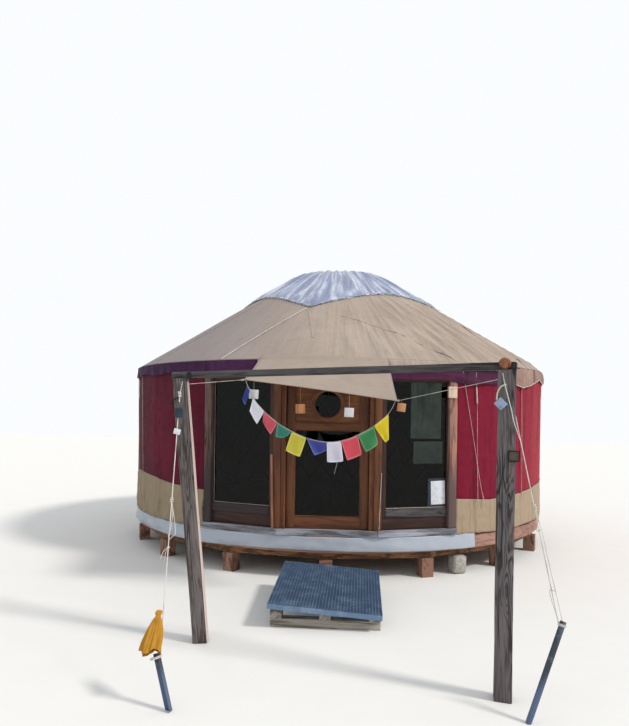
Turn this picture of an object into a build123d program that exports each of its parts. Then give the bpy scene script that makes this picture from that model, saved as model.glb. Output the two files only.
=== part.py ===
from build123d import *

import os
from math import asin, atan2, cos, degrees, hypot, radians, sin, tan

# Round yurt on a timber deck, with a flat glazed front of three sides and a porch frame.
# Millimetres. Origin on the ground under the middle of the yurt, +Z up, door facing -Y.
# Cloth, felt and rim are drawn from pole to pole, so a radius is the one at a pole.

# Clearance between pieces that bear on each other, and between loose cloth and what it covers
seat_gap = 0.3

# Round plan
wall_radius = 2740
eave_overhang = 10
canvas_thickness = 2
felt_thickness = 25
lath_thickness = 13.5
front_angle = -90

# Heights above the ground
bearer_bottom = 195
bearer_depth = 75
joist_depth = 132
floor_thickness = 28
eave_height = 2215
tan_band_height = 425

# Cone of the roof
crown_top_radius = 600
crown_top_height = 3560
crown_ring_width = 60
crown_ring_depth = 85
crown_ring_lift = 8
roof_canvas_thickness = 3
roof_hem = 50
pole_size = 42
pole_count = 40
pole_tenon = 26
tenon_length = 30
felt_crown_gap = 12
felt_eave_gap = 6

# Crown ribs, bent upwards inside the ring
rib_pairs = 4
rib_rise = 75
rib_depth = 34
rib_width = 40
rib_bends = ((1.0, 0.0), (0.8, 0.38), (0.58, 0.68), (0.36, 0.9), (0.15, 1.0))

# Clear cover over the crown: a square sheet laid corner to the door, with its sides drawn in
cover_thickness = 2
cover_rise = 78
cover_edge_radius = 1750
cover_side_radius = 1230
cover_front_corner = (1640, -100)
cover_other_corners = [(1450, -10), (1450, 80), (1450, 170)]

# Band of cloth that hangs from the eave
valance_thickness = 2
valance_depth = 125
valance_drop = 10
valance_awning_gap = 20

# Front: one door side and a window side each way, measured as angles from the middle of the door
door_half_angle = 10.75
window_end_angle = 29.1
plate_drop = 45
head_plate_depth = 90
sole_height = 65
sole_projection = 25
sole_inside = 20
frame_depth = 70
corner_post_width = 80
end_post_width = 96
post_projection = 6

# Fixed windows
window_inset = 12
window_inner_step = 8
window_panel_height = 125
window_panel_thickness = 20
window_panel_inset = 22
window_bottom_rail = 85
window_top_rail = 75
window_stile = 45
glass_rebate = 12
glass_thickness = 5

# Door leaf
door_thickness = 40
door_gap = 5
leaf_clearance = 4
jamb_width = 38
stile_width = 80
top_rail_height = 90
middle_rail_height = 70
bottom_rail_height = 120
upper_panel_height = 380
panel_thickness = 18
porthole_glass_radius = 130
porthole_ring_radius = 180
porthole_ring_depth = 14
porthole_lip = 10

# Lift-off hinges and lever handle
hinge_pin_radius = 3
hinge_pin_clearance = 0.06
hinge_knuckle_radius = 6
hinge_height = 90
hinge_plate_width = 38
hinge_plate_thickness = 3
hinge_from_end = 200
handle_above_floor = 1030
handle_plate = (36, 4, 120)
handle_lever = (108, 14, 16)
handle_reach = 34
handle_spindle_radius = 8

# Wall laths, in two crossed layers on each half of the wall
laths_per_half = 18
lath_width = 32
lath_run = 3
top_band_height = 30

# Deck
leg_size = 130
bearer_width = 70
ring_sides = 16
cross_spacing = 1300
cross_end_gap = 25
joist_width = 45
joist_spacing = 450
rim_thickness = 20
skirt_thickness = 3
skirt_start = -55.5
skirt_sweep = -286.5
stone_size = (155, 150)
stone_angle = -58.8

# Places in front of the yurt are given along x, out from the eave, and up

# Porch frame
post_size = 105
left_post_height = 1910
right_post_height = 1944
beam_depth = 45
beam_width = 70
right_post = (1184, 2497)
left_post = (-810, 1770)
left_post_lean = -174
left_post_turn = 6.5
right_post_turn = -12.4
log_radius = 33
log_length = 60
log_height = 33
bracket_width = 36
bracket_depth = 41
bracket_thickness = 4
bracket_from_post = 78
tag_size = (70, 12, 95)
left_tag_drop = 200
right_tag_drop = 400

# Awning corners
awning_back_left = (-790, -250, 2205)
awning_back_right = (575, -250, 2229)
awning_front_left = (-686, 852, 1951)
awning_front_right = (642, 759, 1785)
awning_thickness = 3

# Ropes and stakes
rope_diameter = 7
tie_diameter = 5
tie_drop = 45
guy_drop = 30
loop_drop = 20
loop_sides = 12
stake_diameter = 34
stake_wall = 3
angle_bar_size = 40
angle_bar_wall = 4
stake_buried = 60
left_stake_foot = (-721, 2850)
left_stake_top = (-813, 2800, 300)
right_stake_foot = (1260, 2780)
right_stake_top = (1460, 2712, 540)
cloth_height = 235
cloth_widths = (34, 92, 122)

# String of flags under the awning's front edge: places along x and heights, chosen by hand
string_diameter = 4
string_sides = 8
string_bend = 0.45
string_points = [
    (-677, 1949.5), (-662, 1905), (-636, 1861), (-611, 1801), (-577, 1751), (-541, 1713), (-509, 1678),
    (-473, 1645), (-434, 1613), (-396, 1582), (-353, 1554), (-308, 1530), (-265, 1507), (-223, 1486),
    (-182, 1470), (-140, 1453), (-93, 1439), (-49, 1429), (-4, 1423), (37, 1419), (80, 1420),
    (122, 1425), (163, 1432), (211, 1445), (259, 1463), (306, 1485), (352, 1508), (399, 1534),
    (443, 1564), (486, 1598), (528, 1632), (567, 1671), (596, 1712), (615, 1750), (629, 1784.6),
]
# Each flag: where it starts and ends along the string, and its lower corners from left to right
flag_thickness = 1.5
flag_drop = 1
flags = [
    (-662, -636, [(-704, 1785), (-677, 1732)]),
    (-611, -509, [(-638, 1680), (-573, 1566)]),
    (-509, -396, [(-524, 1590), (-452, 1478)]),
    (-396, -265, [(-408, 1458), (-321, 1457)]),
    (-265, -140, [(-321, 1342), (-195, 1288)]),
    (-140, 37, [(-69, 1301), (53, 1358)]),
    (37, 163, [(42, 1245), (183, 1254)]),
    (163, 306, [(217, 1262), (343, 1316)]),
    (306, 443, [(378, 1335), (484, 1408)]),
    (443, 567, [(547, 1423), (576, 1452)]),
]

# Small blocks that hang on threads behind the flags: place along x and height of the middle
block_size = (86, 20, 86)
thread_diameter = 2
blocks = [(-608, 1828), (-199, 1706), (227, 1680)]
tie_block_share = 0.06
tie_block_drop = 62

# Lath that leans in the corner of the door and window, and block on the right end post
lath_foot = (-30, 26)
lath_lean = 18
door_lath = (24, 12, 760)
cap_block = (112, 22, 118)

# Step in front of the door: its grating slopes down to the right and to the front
step_width = 890
step_length = 1155
step_height = 200
step_fall_right = 0.072
step_fall_front = 0.052
step_centre = (74, 904)
grating_depth = 40
grating_frame = 5
grating_bar = 3
grating_pitch = 34
step_board_width = 90
step_bearer_depth = 68
step_board_inset = 60

first_pole = front_angle + 180 / pole_count
eave_radius = wall_radius + eave_overhang
deck_radius = wall_radius - canvas_thickness
deck_top = bearer_bottom + bearer_depth + joist_depth + floor_thickness
felt_outer = wall_radius - canvas_thickness - seat_gap
felt_inner = felt_outer - felt_thickness
lattice_outer = felt_inner - seat_gap
lattice_middle = lattice_outer - lath_thickness
lattice_inner = lattice_middle - lath_thickness
roof_run = eave_radius - crown_top_radius
roof_rise = (crown_top_height - eave_height) / roof_run
roof_slope = degrees(atan2(crown_top_height - eave_height, roof_run))
roof_cos = cos(radians(roof_slope))
side_share = cos(radians(180 / pole_count))
front_radius = eave_radius * side_share - seat_gap
canvas_drop = roof_canvas_thickness / roof_cos
felt_drop = (roof_canvas_thickness + felt_thickness) / roof_cos + seat_gap
sole_top = deck_top + sole_height
seat_height = eave_height - plate_drop
head_bottom = seat_height - head_plate_depth
band_bottom = seat_height - top_band_height
wall_start = front_angle + window_end_angle
wall_sweep = 360 - 2 * window_end_angle
rim_radius = eave_radius + roof_canvas_thickness
leaf_bottom = sole_top + leaf_clearance
leaf_top = head_bottom - jamb_width - leaf_clearance
leaf_outer = frame_depth - door_thickness
far = 6000

sides = {
    "left": (front_angle - window_end_angle, front_angle - door_half_angle),
    "door": (front_angle - door_half_angle, front_angle + door_half_angle),
    "right": (front_angle + door_half_angle, front_angle + window_end_angle),
}


def canvas_height(radius):
    """Height of the roof's outer face at a distance from the middle."""
    return eave_height + (eave_radius - radius) * roof_rise


def felt_top(radius):
    """Height at which the wall felt ends, just under the roof felt."""
    return canvas_height(radius) - felt_drop - seat_gap


def polar(radius, angle, height=0.0):
    return Vector(radius * cos(radians(angle)), radius * sin(radians(angle)), height)


def ahead(along, out, height=0.0):
    """A place in front of the yurt, out from its eave."""
    return Vector(along, -eave_radius - out, height)


back_left, back_right = ahead(*awning_back_left), ahead(*awning_back_right)
front_left, front_right = ahead(*awning_front_left), ahead(*awning_front_right)


def flat_share(angle):
    """Share of the radius at the poles that a flat side between two poles reaches at an angle."""
    half = 180 / pole_count
    off = (angle - first_pole) % (2 * half) - half
    return side_share / cos(radians(off))


def pole_angles(start, end):
    """Two angles with every pole between them."""
    step = 360 / pole_count
    first = int((start - first_pole) // step) + 1
    inner = [first_pole + index * step for index in range(first, first + pole_count + 1)]
    return [start] + [angle for angle in inner if start + 0.01 < angle < end - 0.01] + [end]


def block(x0, x1, y0, y1, z0, z1):
    """Upright box between two corners."""
    return Pos((x0 + x1) / 2, (y0 + y1) / 2, (z0 + z1) / 2) * Box(x1 - x0, y1 - y0, z1 - z0)


def turned(points, start=first_pole, sweep=360.0):
    """A cross-section in (radius, height), carried round the yurt in flat sides that meet at the poles."""
    if sweep < 0:
        start, sweep = start + sweep, -sweep
    rows = []
    for angle in pole_angles(start, start + sweep):
        share = flat_share(angle)
        rows.append([polar(radius * share, angle, height) for radius, height in points])
    if sweep == 360:
        rows[-1] = rows[0]
    faces = []
    for here, there in zip(rows, rows[1:]):
        for index in range(len(points)):
            after = (index + 1) % len(points)
            corners = [here[index], there[index], there[after], here[after]]
            kept = [corner for at, corner in enumerate(corners) if (corner - corners[at - 1]).length > 0.01]
            if len(kept) > 2:
                faces.append(Face(Wire.make_polygon(kept)))
    if sweep < 360:
        faces.append(Face(Wire.make_polygon(rows[0])))
        faces.append(Face(Wire.make_polygon(rows[-1])))
    return Solid(Shell(faces))


def band(inner, outer, bottom, top, start=first_pole, sweep=360.0):
    return turned([(inner, bottom), (outer, bottom), (outer, top), (inner, top)], start, sweep)


def wedge(start, end, bottom, top):
    """Everything between two angles, out past the wall."""
    corners = [(0, 0)] + [tuple(polar(far, angle))[:2] for angle in (start, (start + end) / 2, end)]
    return Pos(0, 0, bottom) * extrude(make_face(Polyline(*corners, close=True)), top - bottom)


def side_place(start, end):
    """Place of one flat side: x along it to the right, y inwards from its outer face, z up."""
    left, right = polar(front_radius, start), polar(front_radius, end)
    return Plane(origin=(left + right) * 0.5, x_dir=right - left, z_dir=(0, 0, 1)).location


def side_half(start, end):
    return front_radius * sin(radians((end - start) / 2))


def rod(start, end, diameter):
    """Straight round bar between two points."""
    start, end = Vector(*start), Vector(*end)
    run = end - start
    return extrude(Plane(origin=start, z_dir=run) * Circle(diameter / 2), run.length)


def write(name, *solids):
    shape = solids[0] if len(solids) == 1 else Compound(children=list(solids))
    export_step(shape, f"parts/{name}.step")


def along_side(name, y0, y1, z0, z1):
    """A timber along one whole side, mitred where it meets its neighbours."""
    start, end = sides[name]
    half = side_half(start, end) + frame_depth
    timber = side_place(start, end) * block(-half, half, y0, y1, z0, z1)
    return timber & wedge(start, end, z0 - 1, z1 + 1)


def post_place(angle):
    return Plane(origin=polar(front_radius, angle), x_dir=polar(1, angle + 90), z_dir=(0, 0, 1)).location


def front_post(angle, width, bottom, top, grow=0.0):
    """A post of the front, square to the line from the middle of the yurt."""
    half = width / 2 + grow
    return post_place(angle) * block(-half, half, -post_projection - grow, frame_depth + grow, bottom, top)


def widest(shape):
    return max(shape.solids(), key=lambda solid: solid.volume)


def nearest(shape, point):
    """The solid of a cut rope that still reaches a point."""
    return min(shape.solids(), key=lambda solid: solid.distance_to(point))


def clear_span(shape):
    """Left and right limits, either side of the middle, of a piece that posts have cut."""
    return (max(v.X for v in shape.vertices() if v.X < 0), min(v.X for v in shape.vertices() if v.X > 0))


def deck():
    write("centre_pier", block(-leg_size, leg_size, -leg_size, leg_size, 0, bearer_bottom))

    ring_radius = deck_radius - rim_thickness - bearer_width
    outer = RegularPolygon(ring_radius + bearer_width / 2, ring_sides, rotation=front_angle)
    inner = RegularPolygon(ring_radius - bearer_width / 2, ring_sides, rotation=front_angle)
    write("bearer_ring", Pos(0, 0, bearer_bottom) * extrude(outer - inner, bearer_depth))

    legs = []
    half_leg = leg_size / 2
    leg = block(-half_leg, half_leg, -half_leg, half_leg, 0, bearer_bottom)
    for side in range(ring_sides):
        angle = front_angle + side * 360 / ring_sides
        legs.append(Location(polar(ring_radius, angle), (0, 0, angle)) * leg)
    cross = []
    for y in (-cross_spacing, 0, cross_spacing):
        reach = (ring_radius - bearer_width) ** 2 - (abs(y) + bearer_width / 2) ** 2
        half = reach ** 0.5 - cross_end_gap
        cross.append(block(-half, half, y - bearer_width / 2, y + bearer_width / 2,
                           bearer_bottom, bearer_bottom + bearer_depth))
        for x in (-cross_spacing, 0, cross_spacing):
            if (x, y) != (0, 0):
                legs.append(Pos(x, y, 0) * leg)
    write("cross_bearers", *cross)
    write("deck_legs", *legs)
    width, depth = stone_size
    stone = block(-width / 2, width / 2, -depth / 2, depth / 2, 0, bearer_bottom)
    write("stone_block", Location(polar(ring_radius, stone_angle), (0, 0, 360 / ring_sides)) * stone)

    joist_bottom = bearer_bottom + bearer_depth
    rim_inner = deck_radius - rim_thickness
    flat_radius = rim_inner * side_share
    joists = []
    steps = int((rim_inner - joist_width) / joist_spacing)
    for step in range(-steps, steps + 1):
        x = step * joist_spacing
        half = (flat_radius ** 2 - (abs(x) + joist_width / 2) ** 2) ** 0.5 - seat_gap
        joists.append(block(x - joist_width / 2, x + joist_width / 2, -half, half,
                            joist_bottom, joist_bottom + joist_depth))
    write("deck_joists", *joists)
    write("deck_rim", band(rim_inner, deck_radius, joist_bottom, joist_bottom + joist_depth))
    floor = extrude(RegularPolygon(deck_radius, pole_count, rotation=first_pole), floor_thickness)
    write("deck_floor", Pos(0, 0, deck_top - floor_thickness) * floor)
    skirt_inner = deck_radius + seat_gap
    write("deck_skirt", band(skirt_inner, skirt_inner + skirt_thickness, joist_bottom, deck_top,
                             skirt_start, skirt_sweep))


def front():
    shift = degrees((end_post_width / 2 + 2 * seat_gap) / (front_radius - frame_depth))
    places = [(front_angle - door_half_angle, corner_post_width), (front_angle + door_half_angle, corner_post_width),
              (front_angle - window_end_angle + shift, end_post_width),
              (front_angle + window_end_angle - shift, end_post_width)]
    write("front_posts", *[front_post(angle, width, sole_top, head_bottom) for angle, width in places])
    write("sole_plates", *[along_side(name, -sole_projection, frame_depth + sole_inside, deck_top, sole_top)
                           for name in sides])
    write("head_plates", *[along_side(name, 0, frame_depth, head_bottom, seat_height) for name in sides])
    cutters = [front_post(angle, width, 0, eave_height, seat_gap) for angle, width in places]
    windows(cutters)
    door(cutters)
    small_timber(places[3][0])


def windows(cutters):
    glasses, panels = [], []
    panel_top = sole_top + window_panel_height
    rail_top = panel_top + window_bottom_rail
    glass_top = head_bottom - window_top_rail
    for name in ("left", "right"):
        half = side_half(*sides[name])
        place = side_place(*sides[name])
        panel = block(-half, half, window_panel_inset, window_panel_inset + window_panel_thickness,
                      sole_top, panel_top)
        frame = block(-half, half, window_inset, frame_depth - window_inner_step, panel_top, head_bottom)
        for cutter in cutters:
            local = place.inverse() * cutter
            panel = widest(panel - local)
            frame = widest(frame - local)
        clear_left, clear_right = clear_span(frame)
        left, right = clear_left + window_stile, clear_right - window_stile
        hole = block(left, right, -far, far, rail_top, glass_top)
        y0 = frame_depth / 2 - glass_thickness / 2
        rebate = block(left - glass_rebate, right + glass_rebate, y0 - seat_gap, far,
                       rail_top - glass_rebate, glass_top + glass_rebate)
        edge = glass_rebate - seat_gap
        glasses.append(place * block(left - edge, right + edge, y0, y0 + glass_thickness,
                                     rail_top - edge, glass_top + edge))
        panels.append(place * panel)
        write(f"window_frame_{name}", place * (frame - hole - rebate))
    write("window_glass", *glasses)
    write("window_panels", *panels)


def door(cutters):
    place = side_place(*sides["door"])
    half = side_half(*sides["door"])
    surround = block(-half, half, 0, frame_depth, sole_top, head_bottom)
    for cutter in cutters:
        surround = widest(surround - place.inverse() * cutter)
    clear_left, clear_right = clear_span(surround)
    opening_left, opening_right = clear_left + jamb_width, clear_right - jamb_width
    below_head = block(-half, half, -far, far, 0, head_bottom - jamb_width)
    doorway = block(opening_left, opening_right, -far, far, 0, eave_height)
    write("door_jambs", *[place * solid for solid in (surround & below_head) - doorway])
    write("door_head", place * (surround - below_head))

    left, right = opening_left + door_gap, opening_right - door_gap
    y0, y1 = leaf_outer, frame_depth
    middle_y = (y0 + y1) / 2
    inner_left, inner_right = left + stile_width, right - stile_width
    upper_top = leaf_top - top_rail_height
    upper_bottom = upper_top - upper_panel_height
    lower_top = upper_bottom - middle_rail_height
    lower_bottom = leaf_bottom + bottom_rail_height
    leaf = block(left, right, y0, y1, leaf_bottom, leaf_top)
    leaf -= block(inner_left, inner_right, -far, far, upper_bottom, upper_top)
    leaf -= block(inner_left, inner_right, -far, far, lower_bottom, lower_top)
    write("door_leaf", place * leaf)

    eye = ((inner_left + inner_right) / 2, (upper_bottom + upper_top) / 2)
    facing = Plane(origin=(eye[0], middle_y, eye[1]), x_dir=(1, 0, 0), z_dir=(0, -1, 0))
    panel = block(inner_left, inner_right, middle_y - panel_thickness / 2, middle_y + panel_thickness / 2,
                  upper_bottom, upper_top)
    panel -= facing * extrude(Circle(porthole_glass_radius + porthole_lip), door_thickness, both=True)
    write("door_panel", place * panel)
    ring = facing * extrude(Circle(porthole_ring_radius) - Circle(porthole_glass_radius), porthole_ring_depth)
    write("porthole_ring", place * Pos(0, -panel_thickness / 2, 0) * ring)
    pane = facing * extrude(Circle(porthole_glass_radius + porthole_lip - seat_gap), glass_thickness)
    lower_pane = block(inner_left, inner_right, middle_y - glass_thickness / 2, middle_y + glass_thickness / 2,
                       lower_bottom, lower_top)
    write("door_glass", place * lower_pane, place * Pos(0, glass_thickness - panel_thickness / 2, 0) * pane)

    x = left + stile_width / 2
    z = deck_top + handle_above_floor
    plate_width, plate_depth, plate_height = handle_plate
    lever_length, lever_depth, lever_height = handle_lever
    plate = block(x - plate_width / 2, x + plate_width / 2, y0 - plate_depth, y0,
                  z - plate_height * 0.6, z + plate_height * 0.4)
    spindle = rod((x, y0 - plate_depth + 1, z), (x, y0 - handle_reach - 1, z), 2 * handle_spindle_radius)
    lever = block(x - lever_height / 2, x - lever_height / 2 + lever_length,
                  y0 - handle_reach - lever_depth, y0 - handle_reach, z - lever_height / 2, z + lever_height / 2)
    write("door_handle", place * (plate + spindle + lever))

    hinge_x = right + door_gap / 2
    hinge_y = y1 + hinge_knuckle_radius + 1
    half_height = hinge_height / 2
    moving, fixed = [], []
    for z in (leaf_bottom + hinge_from_end, leaf_top - hinge_from_end):
        knuckle = Cylinder(hinge_knuckle_radius, half_height - seat_gap, align=(Align.CENTER, Align.CENTER, Align.MIN))
        upper = Pos(hinge_x, hinge_y, z + seat_gap) * knuckle
        upper += block(hinge_x - hinge_plate_width, hinge_x, y1, y1 + hinge_plate_thickness,
                       z + seat_gap, z + half_height)
        bore = rod((hinge_x, hinge_y, z - hinge_height), (hinge_x, hinge_y, z + hinge_height),
                   2 * (hinge_pin_radius + hinge_pin_clearance))
        moving.append(place * (upper - bore))
        lower = Pos(hinge_x, hinge_y, z - half_height) * knuckle
        lower += block(hinge_x, hinge_x + hinge_plate_width, y1, y1 + hinge_plate_thickness,
                       z - half_height, z - seat_gap)
        pin = rod((hinge_x, hinge_y, z - half_height + 1), (hinge_x, hinge_y, z + half_height - 1),
                  2 * hinge_pin_radius)
        fixed.append(place * (lower + pin))
    write("door_hinges", *moving)
    write("jamb_hinges", *fixed)
    print("door hinge", (place * Pos(hinge_x, hinge_y, 0)).position)


def small_timber(end_angle):
    width, depth, length = door_lath
    along, out = lath_foot
    foot = Pos(side_half(*sides["left"]) + along, -out, sole_top)
    lath = block(-width / 2, width / 2, -depth / 2, depth / 2, 0, length) & block(-far, far, -far, far, 0, far)
    lean = Rot(0, -degrees(atan2(lath_lean, length)), 0)
    keep = block(-far, far, -far, far, seat_gap, far)
    cap_width, cap_depth, cap_height = cap_block
    cap = block(-cap_width / 2, cap_width / 2, -post_projection - seat_gap - cap_depth, -post_projection - seat_gap,
                head_bottom - 2 * cap_height, head_bottom - cap_height)
    write("frame_laths", side_place(*sides["left"]) * foot * ((lean * Pos(0, 0, -10) * lath) & keep),
          post_place(end_angle) * cap)


def wall_lath(slant, lowest, inner, outer, start, end):
    """A strip that climbs round the wall from its lowest angle, in one layer, kept between two angles."""
    pitch = wall_sweep / 2 / laths_per_half
    run = lath_run * pitch
    rise = band_bottom - deck_top
    half = lath_width / 2 / cos(atan2(rise, radians(run) * lattice_middle))
    climb = (rise - 2 * half) / run
    low, high = sorted((lowest, lowest + slant * run))
    low, high = max(low, start), min(high, end)
    if high - low < pitch / 4:
        return None
    rows = []
    for angle in pole_angles(low, high):
        height = deck_top + half + (angle - lowest) * slant * climb
        near, away = inner * flat_share(angle), outer * flat_share(angle)
        rows.append([polar(near, angle, height - half), polar(away, angle, height - half),
                     polar(away, angle, height + half), polar(near, angle, height + half)])
    faces = [Face(Wire.make_polygon(rows[0])), Face(Wire.make_polygon(rows[-1]))]
    for here, there in zip(rows, rows[1:]):
        for index in (1, 3):
            after = (index + 1) % 4
            faces.append(Face(Wire.make_polygon([here[index], there[index], there[after], here[after]])))
        for index in (0, 2):
            faces.append(Face(Wire.make_polygon([here[index], there[index], there[index + 1]])))
            faces.append(Face(Wire.make_polygon([here[index], there[index + 1], here[index + 1]])))
    return Solid(Shell(faces))


def wall():
    half_sweep = wall_sweep / 2
    pitch = half_sweep / laths_per_half
    for index, name in enumerate(("right", "left")):
        start = wall_start + index * half_sweep
        laths = []
        for slant, inner, outer in ((1, lattice_middle, lattice_outer), (-1, lattice_inner, lattice_middle)):
            for step in range(-lath_run, laths_per_half + lath_run + 1):
                lath = wall_lath(slant, start + (step + 0.5) * pitch, inner, outer, start, start + half_sweep)
                if lath:
                    laths.append(lath)
        write(f"lattice_{name}", *laths)
        for part, end in enumerate(("front", "back") if name == "right" else ("back", "front")):
            write(f"felt_wall_{name}_{end}",
                  turned([(felt_inner, deck_top), (felt_outer, deck_top), (felt_outer, felt_top(felt_outer)),
                          (felt_inner, felt_top(felt_inner))], start + part * half_sweep / 2, half_sweep / 2))
    write("top_band", band(lattice_inner, lattice_outer, band_bottom, seat_height, wall_start, wall_sweep))
    inner = felt_outer + seat_gap
    outer = inner + canvas_thickness
    tan_top = deck_top + tan_band_height
    write("wall_canvas_tan", band(inner, outer, deck_top, tan_top, wall_start, wall_sweep))
    write("wall_canvas_red", band(inner, outer, tan_top, canvas_height(rim_radius) - roof_hem, wall_start, wall_sweep))


def crown():
    ring_outer, ring_inner = crown_top_radius, crown_top_radius - crown_ring_width
    ring_top = canvas_height(ring_outer) - felt_drop + crown_ring_lift
    ring = extrude(RegularPolygon(ring_outer, pole_count, major_radius=False, rotation=front_angle)
                   - RegularPolygon(ring_inner, pole_count, major_radius=False, rotation=front_angle),
                   crown_ring_depth)
    ring = Pos(0, 0, ring_top - crown_ring_depth) * ring
    ridge_drop = pole_size / 2 * tan(radians(180 / pole_count)) * roof_rise
    axis_drop = felt_drop + seat_gap + pole_size / roof_cos / 2 + ridge_drop
    pole_end = felt_inner - 2
    seat = Pos(ring_outer, 0, canvas_height(ring_outer) - axis_drop) * Rot(0, roof_slope, 0)
    length = (pole_end - ring_outer) / roof_cos
    pole = seat * Pos(length / 2, 0, 0) * Box(length + 2 * pole_size, pole_size, pole_size)
    pole = pole & block(ring_outer + seat_gap, pole_end, -pole_size, pole_size, seat_height, far)
    pole += seat * Box(2 * tenon_length, pole_tenon, pole_tenon)
    mortise = seat * Box(2 * tenon_length + 2, pole_tenon + 2 * seat_gap, pole_tenon + 2 * seat_gap)
    poles = []
    for index in range(pole_count):
        turn = Rot(0, 0, first_pole + index * 360 / pole_count)
        poles.append(turn * pole)
        ring -= turn * mortise
    write("roof_poles", *poles)
    write("crown_ring", ring)

    base = ring_top - rib_depth - crown_ring_lift
    reach = ring_inner - seat_gap
    half = [(share * reach, base + rise * rib_rise) for share, rise in rib_bends]
    under = [(-x, z) for x, z in half] + half[::-1]
    over = [(x, z + rib_depth) for x, z in under[::-1]]
    rib = extrude(Plane.XZ * make_face(Polyline(*under, *over, close=True)), rib_width / 2, both=True)
    ribs = rib
    for index in range(1, rib_pairs):
        ribs += Rot(0, 0, index * 180 / rib_pairs) * rib
    write("crown_ribs", ribs)

    apex = crown_top_height + cover_rise - cover_thickness
    under = [(0, apex), (crown_top_radius * 0.3, apex - 6), (crown_top_radius * 0.65, apex - 26),
             (crown_top_radius, crown_top_height + seat_gap),
             (cover_edge_radius, canvas_height(cover_edge_radius) + seat_gap)]
    over = [(radius, height + cover_thickness) for radius, height in reversed(under)]
    corners = [polar(*place) for place in [cover_front_corner, *cover_other_corners]]
    edges = []
    for here, there in zip(corners, corners[1:] + corners[:1]):
        middle = (here + there) * 0.5
        edges.append(ThreePointArc(here, middle * (cover_side_radius / middle.length), there))
    write("crown_cover", turned(under + over) & extrude(make_face(edges), far))


def roof():
    crown()
    inner = crown_top_radius + felt_crown_gap
    outer = eave_radius - felt_eave_gap
    lift = canvas_drop + seat_gap
    for index, name in enumerate(("front", "right", "back", "left")):
        write(f"roof_felt_{name}",
              turned([(outer, canvas_height(outer) - felt_drop), (outer, canvas_height(outer) - lift),
                      (inner, canvas_height(inner) - lift), (inner, canvas_height(inner) - felt_drop)],
                     front_angle - 45 + index * 90, 90))
    hem_bottom = canvas_height(eave_radius) - canvas_drop - roof_hem
    write("roof_canvas", turned([
        (eave_radius, hem_bottom), (rim_radius, hem_bottom), (rim_radius, canvas_height(rim_radius)),
        (crown_top_radius, crown_top_height), (crown_top_radius, crown_top_height - canvas_drop),
        (eave_radius, canvas_height(eave_radius) - canvas_drop)]))
    valance_inner = rim_radius + seat_gap
    valance_top = eave_height - valance_drop
    clear = [degrees(asin((abs(place) + valance_awning_gap) / valance_inner))
             for place in (min(front_left.X, back_left.X), max(front_right.X, back_right.X))]
    write("eave_valance", band(valance_inner, valance_inner + valance_thickness, valance_top - valance_depth,
                               valance_top, front_angle + clear[1], 360 - sum(clear)))


def porch_post(foot, drift, turn, height, grow=0.0):
    """Square post whose middle at a height stands off its foot by drift, taller than it is cut."""
    half = post_size / 2 + grow
    over = 1 + post_size / height
    profile = make_face(Plane.XZ * Polyline((-half, 0), (half, 0), (half + drift * over, height * over),
                                            (-half + drift * over, height * over), close=True))
    return Location(foot, (0, 0, turn)) * extrude(profile, half, both=True)


def post_centre(foot, drift, turn, height, drop=0.0):
    """Middle of a post at a distance below its top."""
    return foot + polar(drift * (1 - drop / height), turn, height - drop)


def beam_strap(x):
    """Strap that holds the beam from below, in the beam's own place."""
    inner, outer = beam_width / 2 + seat_gap, beam_width / 2 + seat_gap + bracket_thickness
    strap = block(x, x + bracket_width, -outer, outer, -seat_gap - bracket_thickness, bracket_depth)
    return strap - block(-far, far, -inner, inner, -seat_gap, far)


def porch():
    posts = {"left": (ahead(*left_post), left_post_lean, left_post_turn, left_post_height),
             "right": (ahead(*right_post), 0, right_post_turn, right_post_height)}
    hold = {name: porch_post(*values, grow=seat_gap) for name, values in posts.items()}
    left_top, right_top = post_centre(*posts["left"]), post_centre(*posts["right"])
    run = right_top - left_top
    square = run.cross(Vector(run.Y, -run.X, 0))
    place = Plane(origin=(left_top + right_top) * 0.5, x_dir=run, z_dir=square * (1 if square.Z > 0 else -1)).location
    for name, values in posts.items():
        write(f"porch_post_{name}", porch_post(*values) - place * block(-far, far, -far, far, 0, far))
    half = run.length / 2 + post_size / 2
    write("porch_beam", place * block(-half, half, -beam_width / 2, beam_width / 2, 0, beam_depth))
    log_x = run.length / 2 - 5
    log = rod((log_x, -beam_width / 2, log_height), (log_x, -beam_width / 2 - log_length, log_height), 2 * log_radius)
    write("beam_log_end", place * log)
    width, depth, height = tag_size
    left_tag = block(-width / 2, width / 2, -post_size / 2 - seat_gap - depth, -post_size / 2 - seat_gap, -height, 0)
    right_tag = block(post_size / 2 + seat_gap, post_size / 2 + seat_gap + depth, -width / 2, width / 2, -height, 0)
    end_cap = block(half + seat_gap, half + seat_gap + bracket_thickness, -beam_width / 2, beam_width / 2,
                    0, bracket_depth)
    write("beam_brackets", place * beam_strap(bracket_from_post - run.length / 2), place * end_cap,
          Location(post_centre(*posts["left"], left_tag_drop), (0, 0, left_post_turn)) * left_tag,
          Location(post_centre(*posts["right"], right_tag_drop), (0, 0, right_post_turn)) * right_tag)
    hooks = {name: post_centre(*values, tie_drop) for name, values in posts.items()}
    bunting(awning_ties(awning(), hooks, hold))
    guys({name: post_centre(*values, guy_drop) for name, values in posts.items()}, hold)


def awning():
    up = Vector(0, 0, awning_thickness)
    back = Face(Wire.make_polygon([back_left, back_right, back_right + up, back_left + up]))
    fore = Face(Wire.make_polygon([front_left, front_right, front_right + up, front_left + up]))
    eave = extrude(RegularPolygon(rim_radius + seat_gap, pole_count, rotation=first_pole), far)
    write("awning", widest(loft([back, fore], ruled=True) - eave))
    return {"left": front_left, "right": front_right}


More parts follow.
